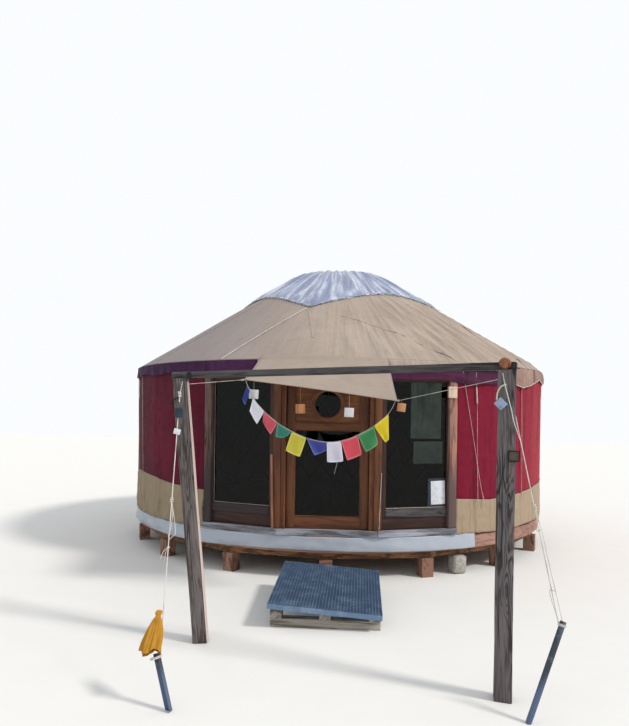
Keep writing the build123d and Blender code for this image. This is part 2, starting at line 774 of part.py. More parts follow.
def awning_ties(corners, hooks, hold):
    """Ropes from the awning's front corners to the posts, and the line that each follows."""
    lines, ropes = {}, []
    for name, corner in corners.items():
        middle = corner + Vector(0, 0, awning_thickness / 2)
        hook = hooks[name]
        start = middle + (hook - middle).normalized() * seat_gap
        lines[name] = (start, hook)
        ropes.append(nearest(rod(start, hook, tie_diameter) - hold[name], start))
    write("awning_ties", *ropes)
    return lines


def edge_share(x):
    """How far along the awning's front edge a place along x lies, from its left corner."""
    return (x - front_left.X) / (front_right.X - front_left.X)


def edge_point(x, z, inside=0.0):
    """Point under the awning's front edge."""
    y = front_left.Y + edge_share(x) * (front_right.Y - front_left.Y)
    return Vector(x, y + inside, z)


def awning_under(x, inside):
    """Height of the awning's underside at a place along x, a little way in from its front edge."""
    share = edge_share(x)
    front = front_left.Z + share * (front_right.Z - front_left.Z)
    back = back_left.Z + share * (back_right.Z - back_left.Z)
    return front + (back - front) * inside / (back_left.Y - edge_point(x, 0).Y)


def string_lower_edge(start, end):
    """Places along x and heights just under the string, square to its run."""
    drop = string_diameter / 2 + flag_drop
    found = []
    for (x0, z0), (x, z), (x1, z1) in zip(string_points, string_points[1:], string_points[2:]):
        if start - drop < x < end + drop:
            length = hypot(x1 - x0, z1 - z0)
            found.append((x + drop * (z1 - z0) / length, z - drop * (x1 - x0) / length))
    return found


def bunting(tie_lines):
    inside = string_diameter
    points = [edge_point(x, z, inside) for x, z in string_points]
    radii = []
    for before, here, after in zip(points, points[1:], points[2:]):
        turn = radians((here - before).get_angle(after - here))
        shorter = min((here - before).length, (after - here).length)
        radii.append(string_bend * shorter / tan(turn / 2))
    line = FilletPolyline(*points, radius=radii)
    section = RegularPolygon(string_diameter / 2, string_sides)
    tube = sweep(Plane(origin=points[0], z_dir=points[1] - points[0]) * section, line)
    write("bunting_cord", tube)
    print("string", round(line.length, 1), "volume share", round(tube.volume / section.area / line.length, 4),
          "radii", round(min(radii)), "to", round(max(radii)))

    across = points[-1] - points[0]
    sheet = Plane(origin=points[0], x_dir=(across.X, across.Y, 0), z_dir=(across.Y, -across.X, 0))
    cloths = []
    for start, end, lower in flags:
        corners = string_lower_edge(start, end) + lower[::-1]
        outline = [sheet.to_local_coords(edge_point(x, z, inside)) for x, z in corners]
        face = make_face(Polyline(*[(p.X, p.Y) for p in outline], close=True))
        cloths.append(extrude(sheet * face, flag_thickness / 2, both=True))
    write("bunting_flags", *cloths)

    width, depth, height = block_size
    hung = []
    for x, z in blocks:
        behind = inside + depth
        top = awning_under(x, behind) - 2 * seat_gap
        body = Pos(edge_point(x, z, behind)) * Box(width, depth, height)
        half = thread_diameter / 2
        hung.append(body + Pos(edge_point(x, 0, behind)) * block(-half, half, -half, half, z, top))
    start, hook = tie_lines["right"]
    at = start + (hook - start) * tie_block_share
    hung.append(Pos(at - Vector(0, 0, tie_block_drop)) * Box(width, depth, height)
                + Pos(at) * block(-half, half, -half, half, -tie_block_drop, -tie_diameter / 2 - seat_gap))
    write("hanging_blocks", *hung)


def rope_loop(place, inner_radius):
    """A turn of rope round a stake, in flat sides."""
    outer = RegularPolygon(inner_radius + rope_diameter, loop_sides, major_radius=False)
    inner = RegularPolygon(inner_radius, loop_sides, major_radius=False)
    return place * extrude(outer - inner, rope_diameter / 2, both=True)


def guys(tops, hold):
    size, wall = angle_bar_size, angle_bar_wall
    angle_bar = Rectangle(size, size) - Pos(wall, wall) * Rectangle(size, size)
    tube = Circle(stake_diameter / 2) - Circle(stake_diameter / 2 - stake_wall)
    stakes = {"left": (ahead(*left_stake_foot), ahead(*left_stake_top), angle_bar, hypot(size, size) / 2),
              "right": (ahead(*right_stake_foot), ahead(*right_stake_top), tube, stake_diameter / 2)}
    above_ground = block(-far, far, -far, far, 0, far)
    bars, ropes = [], []
    for name, (foot, top, section, half_width) in stakes.items():
        axis = (top - foot).normalized()
        below = foot - axis * stake_buried
        length = (top - below).length
        bars.append(widest(extrude(Plane(origin=below, z_dir=axis) * section, length) & above_ground))
        middle = top - axis * loop_drop
        loop = rope_loop(Plane(origin=middle, z_dir=axis).location, half_width + seat_gap)
        end = tops[name]
        reach = end - middle
        outward = (reach - axis * reach.dot(axis)).normalized()
        leave = middle + outward * (half_width + seat_gap + rope_diameter / 2)
        ropes.append(nearest(rod(leave, end, rope_diameter) - hold[name], leave) + loop)
        if name == "left":
            guy_cloth(leave, end)
    write("ground_stakes", *bars)
    write("guy_ropes", *ropes)


def guy_cloth(start, end):
    """Cloth knotted round the left guy just above its stake, narrow where it is tied and wide below."""
    run = (end - start).normalized()
    low = start + run * (loop_drop + 2 * rope_diameter)
    narrow, middle, wide = cloth_widths
    sections = [Plane(origin=low + run * height, z_dir=run) * Rectangle(width, width * 0.6)
                for height, width in ((0, wide), (cloth_height * 0.55, middle), (cloth_height, narrow))]
    body = loft(sections, ruled=True)
    write("guy_cloth", body - rod(start - run * far / 10, end, rope_diameter + 2 * seat_gap))


def step():
    along, inwards = Vector(1, 0, -step_fall_right), Vector(0, 1, step_fall_front)
    place = Plane(origin=ahead(*step_centre, step_height), x_dir=along, z_dir=along.cross(inwards)).location
    half_w, half_l = step_width / 2, step_length / 2
    frame = block(-half_w, half_w, -half_l, half_l, -grating_depth, 0)
    frame -= block(-half_w + grating_frame, half_w - grating_frame, -half_l + grating_frame, half_l - grating_frame,
                   -far, far)
    count = int(step_width / grating_pitch) - 1
    for index in range(1, count + 1):
        x = -half_w + index * step_width / (count + 1)
        frame += block(x - grating_bar / 2, x + grating_bar / 2, -half_l + 1, half_l - 1, -grating_depth, 0)
    write("step_grating", place * frame)
    half_board = step_board_width / 2
    boards = []
    for x in (-half_w + step_board_inset, 0, half_w - step_board_inset):
        boards.append(block(x - half_board, x + half_board, -half_l + grating_pitch, half_l - grating_pitch,
                            step_bearer_depth, step_height + half_w))
    for y in (-half_l + 2 * step_board_inset, 0, half_l - 2 * step_board_inset):
        boards.append(block(-half_w + grating_pitch, half_w - grating_pitch, y - half_board, y + half_board,
                            0, step_bearer_depth))
    base = Pos(ahead(*step_centre)) * boards[0].fuse(*boards[1:])
    write("step_base", base - place * block(-far, far, -far, far, -grating_depth, far))


os.makedirs("parts", exist_ok=True)
deck()
front()
wall()
roof()
porch()
step()
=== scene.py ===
from math import atan2, cos, degrees, radians, sin

import bpy
import numpy as np
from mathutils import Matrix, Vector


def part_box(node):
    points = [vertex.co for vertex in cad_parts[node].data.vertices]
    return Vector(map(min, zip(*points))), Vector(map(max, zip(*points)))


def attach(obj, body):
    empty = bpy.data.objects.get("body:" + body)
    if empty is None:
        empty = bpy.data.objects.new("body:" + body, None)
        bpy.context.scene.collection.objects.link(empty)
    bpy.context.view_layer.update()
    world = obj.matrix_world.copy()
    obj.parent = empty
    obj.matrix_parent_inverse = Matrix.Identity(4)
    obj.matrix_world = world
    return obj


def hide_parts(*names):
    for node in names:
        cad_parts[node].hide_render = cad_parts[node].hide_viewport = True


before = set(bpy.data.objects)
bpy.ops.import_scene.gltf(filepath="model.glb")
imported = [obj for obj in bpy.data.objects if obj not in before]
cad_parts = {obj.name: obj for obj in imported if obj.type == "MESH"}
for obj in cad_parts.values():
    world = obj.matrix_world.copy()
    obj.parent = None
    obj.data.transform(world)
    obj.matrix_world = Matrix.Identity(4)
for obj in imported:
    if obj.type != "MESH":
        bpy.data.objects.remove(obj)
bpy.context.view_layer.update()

# Sizes of the yurt in metres, as in the part: a radius is the one at a roof pole
pole_step = 9
first_pole = -85.5
wall_radius = 2.74
eave_radius = 2.75
eave_height = 2.215
crown_radius = 0.6
crown_height = 3.56
roof_fall = (crown_height - eave_height) / (eave_radius - crown_radius)
roof_slope = atan2(roof_fall, 1)
front_radius = eave_radius * cos(radians(pole_step / 2)) - 0.0003
rim_radius = eave_radius + 0.003
up = np.array([0.0, 0.0, 1.0])
deck_top = 0.43
sole_top = 0.495
head_bottom = 2.08
seat_height = 2.17
tan_top = 0.855
frame_depth = 0.07
seam_end = 2.745
canvas_start, canvas_end = 0.61, 2.752

# Angles in degrees from +X; the front faces -Y
front = -90
door_half = 10.75
window_end = 29.1
wall_start, wall_end = front + window_end, front - window_end + 360

# An end post's middle lies inside the window's end by this angle: its half width and a gap
end_post_half = 0.048
post_gap = 0.0006
post_shift = degrees((end_post_half + post_gap) / (front_radius - frame_depth))

# How far cloth follows the chord between two poles: 0 keeps to the arc, 1 to the chord
wall_drawn = 0.7
roof_drawn = 0.8

# Small hard things keep true faces and take close rows
hard = {"wobble": 0.0, "pitch": 0.02}

# Half a millimetre between boards that meet
hair = 0.0005


def linear(code):
    """The linear colour of a screen colour written as six hex digits."""
    parts = [int(code[at:at + 2], 16) / 255 for at in (0, 2, 4)]
    return tuple(p / 12.92 if p <= 0.04045 else ((p + 0.055) / 1.055) ** 2.4 for p in parts) + (1.0,)


def polar(radius, turn, height=0.0):
    """Points at a distance from the yurt's axis, at an angle in degrees from +X, and at a height."""
    angle = np.radians(turn)
    return np.stack(np.broadcast_arrays(radius * np.cos(angle), radius * np.sin(angle), height), axis=-1)


def drawn_in(turn, share):
    """What is left of a radius where cloth is drawn in between two poles. A chord's distance from the axis
    is the cosine of half a step over the cosine of the angle from its middle, and the cloth follows it by a
    share."""
    off = (turn - first_pole) % pole_step - pole_step / 2
    chord = np.cos(np.radians(pole_step / 2)) / np.cos(np.radians(off))
    return 1 - share * (1 - chord)


def ease(value, low, high):
    """0 below low, 1 above high, and the smooth cubic 3s2 - 2s3 between."""
    share = np.clip((value - low) / (high - low), 0, 1)
    return share * share * (3 - 2 * share)


def ripple(seed, one, two, slow, quick, count=7):
    """Sum of seeded sine waves over two measures, with rates between slow and quick, about -1 to 1."""
    draw = np.random.default_rng(seed)
    heading, start = draw.uniform(0, 2 * np.pi, (2, count))
    rate = draw.uniform(slow, quick, count)
    waves = [np.sin(r * (one * cos(h) + two * sin(h)) + s) for r, h, s in zip(rate, heading, start)]
    return sum(waves) / count ** 0.5


def unit(way):
    way = np.asarray(way, float)
    return way / np.linalg.norm(way, axis=-1, keepdims=True)


def ridged(angle, power):
    """Sharp ridges with round hollows between them: 1 - |sin| to a power."""
    return (1 - abs(np.sin(angle))) ** power


def rounded(angle, power=1):
    """Rounded folds from 0 to 1: half of 1 + sin, to a power."""
    return (0.5 + 0.5 * np.sin(angle)) ** power


def circle(count):
    """Angles evenly round a full turn, in radians, without the last."""
    return np.linspace(0, 2 * np.pi, count, endpoint=False)


def turned(angle, one, other):
    """The way at an angle in radians from one way towards another."""
    return np.cos(angle) * one + np.sin(angle) * other


def square_to(axis, side=(0, 1, 0)):
    """Two ways square to an axis and to each other; the first is square to a given side too."""
    over = unit(np.cross(axis, side))
    return over, np.cross(axis, over)


def arc_marks(turn, radius, down):
    """UV marks in metres for rows round the axis: the arc at a radius, and a measure down the cloth."""
    return np.stack(np.broadcast_arrays(np.radians(turn) * radius, down), axis=-1)


def joined(marks, radius):
    """Marks with the first column again after a full turn."""
    return np.concatenate([marks, marks[:, :1] + (2 * np.pi * radius, 0)], axis=1)


class Wire:
    """A socket of a finish. Python's operators on it add Math nodes."""

    def __init__(self, finish, socket):
        self.finish = finish
        self.socket = socket

    def reckon(self, operation, *terms):
        return self.finish.node("Math", {"operation": operation}, dict(enumerate(terms)))

    def __add__(self, other):
        return self.reckon("ADD", self, other)

    def __sub__(self, other):
        return self.reckon("SUBTRACT", self, other)

    def __rsub__(self, other):
        return self.reckon("SUBTRACT", other, self)

    def __mul__(self, other):
        return self.reckon("MULTIPLY", self, other)

    def __abs__(self):
        return self.reckon("ABSOLUTE", self)

    __radd__ = __add__
    __rmul__ = __mul__

    def sine(self):
        return self.reckon("SINE", self)

    def span(self, low, high, bottom=0.0, top=1.0):
        """Carries the range low to high onto bottom to top, smoothly and held at both ends."""
        return self.finish.node("MapRange", {"interpolation_type": "SMOOTHSTEP"},
                                {0: self, 1: low, 2: high, 3: bottom, 4: top})


class Finish:
    """A material: a Principled shader with plain values, and one method that adds every other node."""

    def __init__(self, name, slot, plain):
        self.slot = slot
        self.material = bpy.data.materials.new(name)
        self.material.use_nodes = True
        self.tree = self.material.node_tree
        self.shader = self.tree.nodes["Principled BSDF"]
        for socket, value in plain.items():
            self.feed(self.shader.inputs[socket], value)

    def feed(self, socket, value):
        if isinstance(value, Wire):
            self.tree.links.new(value.socket, socket)
        else:
            socket.default_value = value

    def node(self, kind, settings=None, values=None, out=0):
        """Adds a node with its settings, feeds its inputs, and wraps one of its outputs."""
        made = self.tree.nodes.new("ShaderNode" + kind)
        for key, value in (settings or {}).items():
            setattr(made, key, value)
        for key, value in (values or {}).items():
            self.feed(made.inputs[key], value)
        return Wire(self, made.outputs[out])

    def place(self, kind="Object"):
        return self.node("TexCoord", out=kind)

    def stretch(self, at, scale):
        return self.node("Mapping", values={0: at, "Scale": scale})

    def along(self, at, axis):
        return self.node("SeparateXYZ", values={0: at}, out=axis)

    def noise(self, at, scale, detail=3.0, rough=0.55, bend=0.0):
        values = {"Vector": at, "Scale": scale, "Detail": detail, "Roughness": rough, "Distortion": bend}
        return self.node("TexNoise", values=values)

    def streaks(self, at, scale, *more):
        """Noise drawn out, with a scale of its own along each axis."""
        return self.noise(self.stretch(at, scale), 1.0, *more)

    def cells(self, at, scale):
        return self.node("TexVoronoi", values={"Vector": at, "Scale": scale})

    def mix(self, share, one, other, how="MIX"):
        return self.node("Mix", {"data_type": "RGBA", "blend_type": how}, {0: share, 6: one, 7: other}, out=2)

    def paint(self, colour=None, rough=None, bumps=(), alpha=None):
        """Feeds the shader: colour, roughness, alpha and a chain of bumps, each a height, a strength and a
        depth."""
        normal = None
        for height, strength, depth in bumps:
            values = {"Height": height, "Strength": strength, "Distance": depth}
            if normal:
                values["Normal"] = normal
            normal = self.node("Bump", values=values)
        fed = {"Base Color": colour, "Roughness": rough, "Normal": normal, "Alpha": alpha}
        for socket, value in fed.items():
            if value is not None:
                self.feed(self.shader.inputs[socket], value)
        return self


def cloth_finish(name, slot, base, stain, bright, weave=900.0, marks=0.5, sheen=0.03, lit_right=None, pulls=0.0,
                 shaded_left=None, glow=0.0, far=None):
    """Woven canvas: threads on the UV in metres, cloudy dirt, streaks that run down it, and creases. A lit
    colour takes over towards +X and a far one beyond it: painted light on the side the sun falls on. A shaded
    one takes over towards -X: painted shade on the other side. Pulls are fine folds along V, with painted
    shade in their hollows. A little glow stands for daylight behind thin cloth."""
    made = Finish(name, slot, {"Sheen Weight": sheen, "Sheen Roughness": 0.6, "Specular IOR Level": 0.15,
                               "Emission Strength": glow})
    at, lay = made.place(), made.place("UV")
    east = made.along(at, 0)
    cloud = made.noise(at, 1.1, 5.0, 0.6)
    fine = made.noise(at, 14.0, 4.0, 0.6)
    drips = made.noise(made.stretch(at, (7.0, 7.0, 0.5)), 1.6, 4.0, 0.6)
    colour = made.mix(cloud.span(0.35, 0.7), linear(base), linear(bright))
    # Painted shade: a shaded colour takes over towards -X, away from the sun.
    if shaded_left:
        colour = made.mix(east.span(-1.6, 0.1, 0.9, 0.0), colour, linear(shaded_left))
    # Painted light: a lit colour takes over towards +X, on the side the sun falls on.
    if lit_right:
        colour = made.mix(east.span(-1.6, 2.2), colour, linear(lit_right))
    # Painted sunlight: a brighter colour still near the far +X end.
    if far:
        colour = made.mix(east.span(1.9, 2.65) * 0.6, colour, linear(far))
    colour = made.mix(drips.span(0.52, 0.75) * marks, colour, linear(stain))
    colour = made.mix(fine.span(0.5, 0.8) * (marks * 0.45), colour, linear(stain))
    across, along = made.along(lay, 0), made.along(lay, 1)
    threads = (across * weave * 2).sine() * (along * weave * 2).sine()
    slub = made.streaks(lay, (weave * 0.05, weave * 0.4, 1.0), 2.0)
    colour = made.mix(slub.span(0.4, 0.7) * 0.12, colour, linear(bright))
    creases = made.noise(at, 5.0, 6.0, 0.55, 0.6)
    bumps = [(threads, 0.16, 0.0004), (slub, 0.2, 0.0006), (creases, 0.22, 0.012)]
    if pulls:
        broad = made.streaks(lay, (5.0, 0.55, 1.0), 2.0, 0.5, 0.4)
        narrow = made.streaks(lay, (15.0, 0.8, 1.0), 3.0, 0.5, 0.3)
        drawn = (broad * 0.6 + narrow * 0.4) * east.span(-1.0, 1.0, 0.35)
        # Painted shade: the stain colour darkens the hollows of the fine folds, more towards +X.
        shade = narrow.span(0.36, 0.56, pulls, 0.0) * east.span(-0.2, 0.9, 0.15)
        colour = made.mix(shade, colour, linear(stain))
        bumps.append((drawn, 1.0, 0.22 * pulls))
    if glow:
        made.feed(made.shader.inputs["Emission Color"], colour)
    return made.paint(colour, fine.span(0.3, 0.7, 0.8, 0.93), bumps)


def timber_finish(name, slot, light, dark, crack=0.0, grey=None, rings=26.0, gloss=0.6, marks="UV",
                  scale=(1.0, 1.0, 1.0), knots=0.6, figured=1.0, sunlit_side=None, soaked=None):
    """Sawn timber. Grain runs along the first axis of its marks; rings swirl round knots, and cracks open
    along the grain where it is weathered. A sunlit colour covers the faces that look towards +X: painted
    sunlight on the side the low sun falls on. A soaked one covers the lower part of an upright."""
    made = Finish(name, slot, {"Specular IOR Level": 0.3})
    at = made.place(marks)
    if marks != "UV":
        at = made.stretch(at, scale)
    spots = made.cells(made.stretch(at, (1.5, 8.0, 8.0)), 1.0)
    knot = spots.span(0.05, 0.3, 1.0, 0.0) * knots
    figure = made.streaks(at, (0.9, 11.0, 11.0), 3.0, 0.5, 0.5) + knot * 0.35
    lines = (figure * rings).sine() * 0.5 + 0.5
    pores = made.streaks(at, (14.0, 330.0, 330.0), 3.0, 0.6)
    tone = made.streaks(at, (0.7, 3.0, 3.0), 2.0)
    colour = made.mix(lines.span(0.25, 1.0) * figured, linear(light), linear(dark))
    colour = made.mix(pores.span(0.5, 0.8) * (0.45 * figured), colour, linear(dark))
    colour = made.mix(knot.span(0.25, 0.9) * 0.8, colour, linear(dark))
    if grey:
        washed = made.streaks(at, (1.6, 9.0, 9.0), 5.0, 0.65)
        colour = made.mix(washed.span(0.42, 0.62) * 0.65, colour, linear(grey))
    colour = made.mix(tone.span(0.3, 0.7) * 0.25, colour, linear(dark), "MULTIPLY")
    bumps = [(lines, 0.18, 0.0012), (pores, 0.25, 0.0005)]
    if crack:
        split = abs(made.streaks(at, (0.5, 30.0, 30.0), 3.0, 0.55, 0.15) - 0.5)
        open_crack = split.span(0.0, 0.026 * crack, 1.0, 0.0)
        short = made.streaks(at, (1.8, 9.0, 9.0), 2.0).span(0.38, 0.56)
        gash = open_crack * short
        colour = made.mix(gash * 0.85, colour, linear("1E1A17"))
        bumps.append((1.0 - gash, 0.5, 0.004))
    if soaked:
        wet = made.along(made.place(), 2) + tone * 0.3
        colour = made.mix(wet.span(1.0, 1.5, 0.95, 0.0), colour, linear(soaked))
    # Painted sunlight: a pale colour on the faces that look towards +X, where the low sun falls.
    if sunlit_side:
        facing = made.along(made.place("Normal"), 0).span(0.85, 0.95)
        colour = made.mix(facing * 0.9, colour, linear(sunlit_side))
    return made.paint(colour, pores.span(0.3, 0.7, gloss, min(gloss + 0.2, 0.97)), bumps)


def metal_finish(name, slot, base, worn, metallic, rough, patch=18.0, low=None):
    """Painted or coated metal: a clouded colour, rubbed where a noise is high, and fine pitting. Another
    colour may take over near the ground."""
    made = Finish(name, slot, {"Metallic": metallic})
    at = made.place()
    cloud = made.noise(at, patch, 4.0, 0.65)
    pits = made.noise(at, patch * 22, 3.0)
    colour = made.mix(cloud.span(0.45, 0.7), linear(base), linear(worn))
    if low:
        colour = made.mix((made.along(at, 2) + cloud * 0.1).span(0.2, 0.32, 1.0, 0.0), colour, linear(low))
    bumps = [(pits, 0.2, 0.0005), (cloud, 0.1, 0.002)]
    return made.paint(colour, cloud.span(0.3, 0.7, rough, rough + 0.22), bumps)


def rope_finish(name, slot, base, dirt):
    """Laid rope: fine fibres that run with the strand, and soiled stretches."""
    made = Finish(name, slot, {"Sheen Weight": 0.2, "Specular IOR Level": 0.2})
    at = made.place()
    soil = made.noise(at, 9.0, 4.0)
    hairs = made.streaks(at, (900.0, 900.0, 260.0), 2.0)
    colour = made.mix(soil.span(0.42, 0.72) * 0.7, linear(base), linear(dirt))
    colour = made.mix(hairs.span(0.5, 0.8) * 0.25, colour, linear(dirt))
    return made.paint(colour, 0.9, [(hairs, 0.35, 0.0004)])


def felt_finish():
    made = Finish("wool_felt", "felt", {"Sheen Weight": 0.4})
    at = made.place()
    wool = made.noise(at, 60.0, 6.0, 0.7, 1.2)
    cloud = made.noise(at, 2.0, 4.0)
    colour = made.mix(wool.span(0.35, 0.7), linear("D9CFBB"), linear("A89B84"))
    colour = made.mix(cloud.span(0.45, 0.7) * 0.4, colour, linear("8C8069"))
    return made.paint(colour, 0.95, [(wool, 0.5, 0.003)])


def cover_finish():
    """Clear sheeting gone milky: bluish silver, with chalky streaks down the slope and a soft gloss."""
    made = Finish("clear_sheeting", "clear_cover", {"Coat Weight": 0.4, "Coat Roughness": 0.12, "IOR": 1.45})
    lay = made.place("UV")
    at = made.place()
    streak = made.streaks(lay, (16.0, 1.6, 1.0), 4.0, 0.6, 0.4)
    film = made.noise(at, 3.5, 4.0)
    colour = made.mix(streak.span(0.4, 0.68), linear("818CAE"), linear("CAD2E5"))
    colour = made.mix(film.span(0.45, 0.75) * 0.5, colour, linear("7785A5"))
    milky = streak.span(0.3, 0.7, 0.78, 0.97)
    return made.paint(colour, film.span(0.3, 0.7, 0.22, 0.42), [(streak, 0.35, 0.01)], milky)


def pane_finish():
    """Old float glass: a dark grey-green tint, painted shade that stands for the dark reflections and dim
    room behind it, thin dust and slight waves.
    """
    made = Finish("pane", "pane", {"Transmission Weight": 1.0, "IOR": 1.24, "Specular IOR Level": 0.22})
    at = made.place()
    dust = made.noise(at, 6.0, 5.0, 0.65)
    wave = made.noise(at, 2.2, 1.0)
    # Painted shade: the dark tint darkens all that shows through the glass.
    colour = made.mix(dust.span(0.35, 0.75), linear("606A64"), linear("4C5550"))
    return made.paint(colour, dust.span(0.45, 0.8, 0.01, 0.09), [(wave, 0.04, 0.01)])


def stone_finish(name, slot, base, dark):
    made = Finish(name, slot, {"Specular IOR Level": 0.25})
    at = made.place()
    grit = made.noise(at, 46.0, 6.0, 0.7)
    pocks = made.cells(at, 60.0).span(0.0, 0.32)
    moss = made.noise(at, 5.0, 4.0)
    colour = made.mix(grit.span(0.35, 0.7), linear(base), linear(dark))
    colour = made.mix(moss.span(0.55, 0.75) * 0.4, colour, linear("77775A"))
    return made.paint(colour, 0.92, [(grit, 0.5, 0.004), (pocks, 0.3, 0.003)])


def skirt_finish():
    made = Finish("skirt_sheeting", "white_skirt", {"Specular IOR Level": 0.45})
    at = made.place()
    dirt = made.streaks(at, (3.0, 3.0, 9.0), 5.0, 0.65)
    splash = made.along(at, 2).span(0.27, 0.37, 1.0, 0.0) * dirt.span(0.4, 0.65)
    weave = made.noise(at, 700.0, 1.0)
    colour = made.mix(dirt.span(0.5, 0.8) * 0.5, linear("A8B0BC"), linear("9098A4"))
    colour = made.mix(splash * 0.35, colour, linear("817D76"))
    return made.paint(colour, dirt.span(0.3, 0.7, 0.38, 0.6), [(weave, 0.1, 0.0003), (dirt, 0.12, 0.01)])


class Cut:
    """Gathers grids of points, each with UV marks in metres, into the mesh of one piece."""

    def __init__(self):
        self.points, self.quads, self.marks, self.ends, self.end_marks, self.count = [], [], [], [], [], 0

    def lay(self, grid, marks=None, closed=False, ended=False, shift=(0.0, 0.0)):
        """A grid of rows by columns. closed joins the last column to the first; ended puts a face on both end
        rows, or on those named first or last. Without marks, U is the length along the rows' middle and V the
        length along each row."""
        grid = np.asarray(grid, float)
        rows, columns = grid.shape[:2]
        number = self.count + np.arange(rows * columns).reshape(rows, columns)
        ring = np.concatenate([grid, grid[:, :1]], axis=1) if closed else grid
        if marks is None:
            steps = np.linalg.norm(np.diff(ring, axis=1), axis=2)
            over = np.concatenate([np.zeros((rows, 1)), np.cumsum(steps, axis=1)], axis=1)
            middle = grid.mean(axis=1)
            down = np.concatenate([[0], np.cumsum(np.linalg.norm(np.diff(middle, axis=0), axis=1))])
            marks = np.stack([np.broadcast_to(down[:, None], over.shape), over], axis=-1)
        marks = marks + np.asarray(shift)
        if closed:
            number = np.concatenate([number, number[:, :1]], axis=1)

        def around(table):
            return np.stack([table[:-1, :-1], table[:-1, 1:], table[1:, 1:], table[1:, :-1]], axis=2)

        self.quads.append(around(number).reshape(-1, 4))
        self.marks.append(around(marks).reshape(-1, 2))
        for ends, flip, word in ((0, -1, "first"), (-1, 1, "last")):
            if ended is True or ended == word:
                self.ends.append(number[ends, :columns][::flip].tolist())
                self.end_marks.append((marks[ends, :columns][::flip] * (0.25, 1.0)) + (7.0, 0.0))
        self.points.append(grid.reshape(-1, 3))
        self.count += rows * columns
        return self

    def piece(self, name, finish, body="yurt", stands_for=(), smooth=True, thick=0.0, side=-1.0, levels=0):
        """Makes the object, with its finish and body. thick adds a Solidify modifier and levels a Subdivision
        Surface one."""
        mesh = bpy.data.meshes.new(name)
        quads = np.concatenate(self.quads)
        mesh.from_pydata(np.concatenate(self.points), [], quads.tolist() + self.ends)
        layer = mesh.uv_layers.new(name="lay")
        marks = np.concatenate(self.marks + self.end_marks)
        layer.data.foreach_set("uv", marks.astype(np.float32).ravel())
        if smooth:
            mesh.shade_smooth()
        else:
            mesh.shade_flat()
        mesh.materials.append(finish.material)
        made = bpy.data.objects.new(name, mesh)
        bpy.context.scene.collection.objects.link(made)
        if levels:
            sub = made.modifiers.new("soften", "SUBSURF")
            sub.levels = sub.render_levels = levels
        if thick:
            solid = made.modifiers.new("thick", "SOLIDIFY")
            solid.thickness = thick
            solid.offset = side
        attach(made, body)
        if stands_for:
            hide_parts(*stands_for)
        return made


def square_edge(wide, deep, edge, sides=3):
    """Points round a rectangle with rounded corners: each corner is a quarter turn of radius edge."""
    corner = np.linspace(0, np.pi / 2, sides)
    turns = np.concatenate([corner + quarter * np.pi / 2 for quarter in range(4)])
    middle_x = np.repeat([1, -1, -1, 1], sides) * (wide / 2 - edge)
    middle_y = np.repeat([1, 1, -1, -1], sides) * (deep / 2 - edge)
    return np.stack([middle_x + edge * np.cos(turns), middle_y + edge * np.sin(turns)], axis=1)


def board(cut, start, end, face_way, wide, deep, seed=0, edge=0.003, wobble=0.0008, mitre=(0.0, 0.0),
          pitch=0.08):
    """A timber with a rounded rectangular section, wide by deep, carried from start to end. Its faces wander
    by seeded waves, its ends are eased, and a mitre slides each end's points along by a share of their
    depth."""
    start, end = np.asarray(start, float), np.asarray(end, float)
    length = np.linalg.norm(end - start)
    run = (end - start) / length
    over = unit(np.asarray(face_way, float) - np.dot(face_way, run) * run)
    down = np.cross(run, over)
    rows = max(4, int(length / pitch))
    inner = np.linspace(edge * 2 + 0.012, length - edge * 2 - 0.012, rows)
    at = np.concatenate([[0, edge], inner, [length - edge, length]])
    full, less = square_edge(wide, deep, edge), square_edge(wide - edge, deep - edge, edge)
    section = np.repeat(full[None], len(at), axis=0)
    section[0] = section[-1] = less
    around = full[None, :, 0] * 20 + full[None, :, 1] * 31
    drift = wobble * ripple(seed * 17 + 5, at[:, None] * 3, around, 0.6, 3.0)
    section = section * (1 + (drift / (np.linalg.norm(full, axis=1) + 1e-6))[..., None])
    slide = np.zeros(section.shape[:2])
    slide[:2] = mitre[0] * section[:2, :, 1]
    slide[-2:] = mitre[1] * section[-2:, :, 1]
    grid = start + (at[:, None] + slide)[..., None] * run + section[..., :1] * over + section[..., 1:] * down
    return cut.lay(grid, closed=True, ended=True, shift=(seed * 1.37 % 9, seed * 0.71 % 5))


def frames_along(path):
    """For each point of a path: its direction, and two ways square to it, from the path's flattest plane."""
    run = unit(np.gradient(path, axis=0))
    plane = np.linalg.svd(path - path.mean(axis=0))[2][2]
    return run, *square_to(run, plane)


def rod(cut, path, radius, sides=10):
    """A round bar along a path; the radius may change from point to point."""
    path = np.asarray(path, float)
    run, over, down = frames_along(path)
    size = np.broadcast_to(radius, len(path))[:, None, None]
    grid = path[:, None] + size * turned(circle(sides)[None, :, None], over[:, None], down[:, None])
    return cut.lay(grid, closed=True, ended=True)


def spread(points, gap):
    """A path through points, smoothed by a Catmull-Rom cubic, with points about gap apart."""
    points = np.asarray(points, float)
    full = np.concatenate([[2 * points[0] - points[1]], points, [2 * points[-1] - points[-2]]])
    found = []
    for before, here, there, after in zip(full, full[1:], full[2:], full[3:]):
        count = max(2, int(np.linalg.norm(there - here) / gap))
        t = np.linspace(0, 1, count, endpoint=False)[:, None]
        square_share = 2 * before - 5 * here + 4 * there - after
        cube_share = 3 * here - before - 3 * there + after
        found.append(0.5 * (2 * here + (there - before) * t + square_share * t ** 2 + cube_share * t ** 3))
    return np.concatenate(found + [points[-1:]])


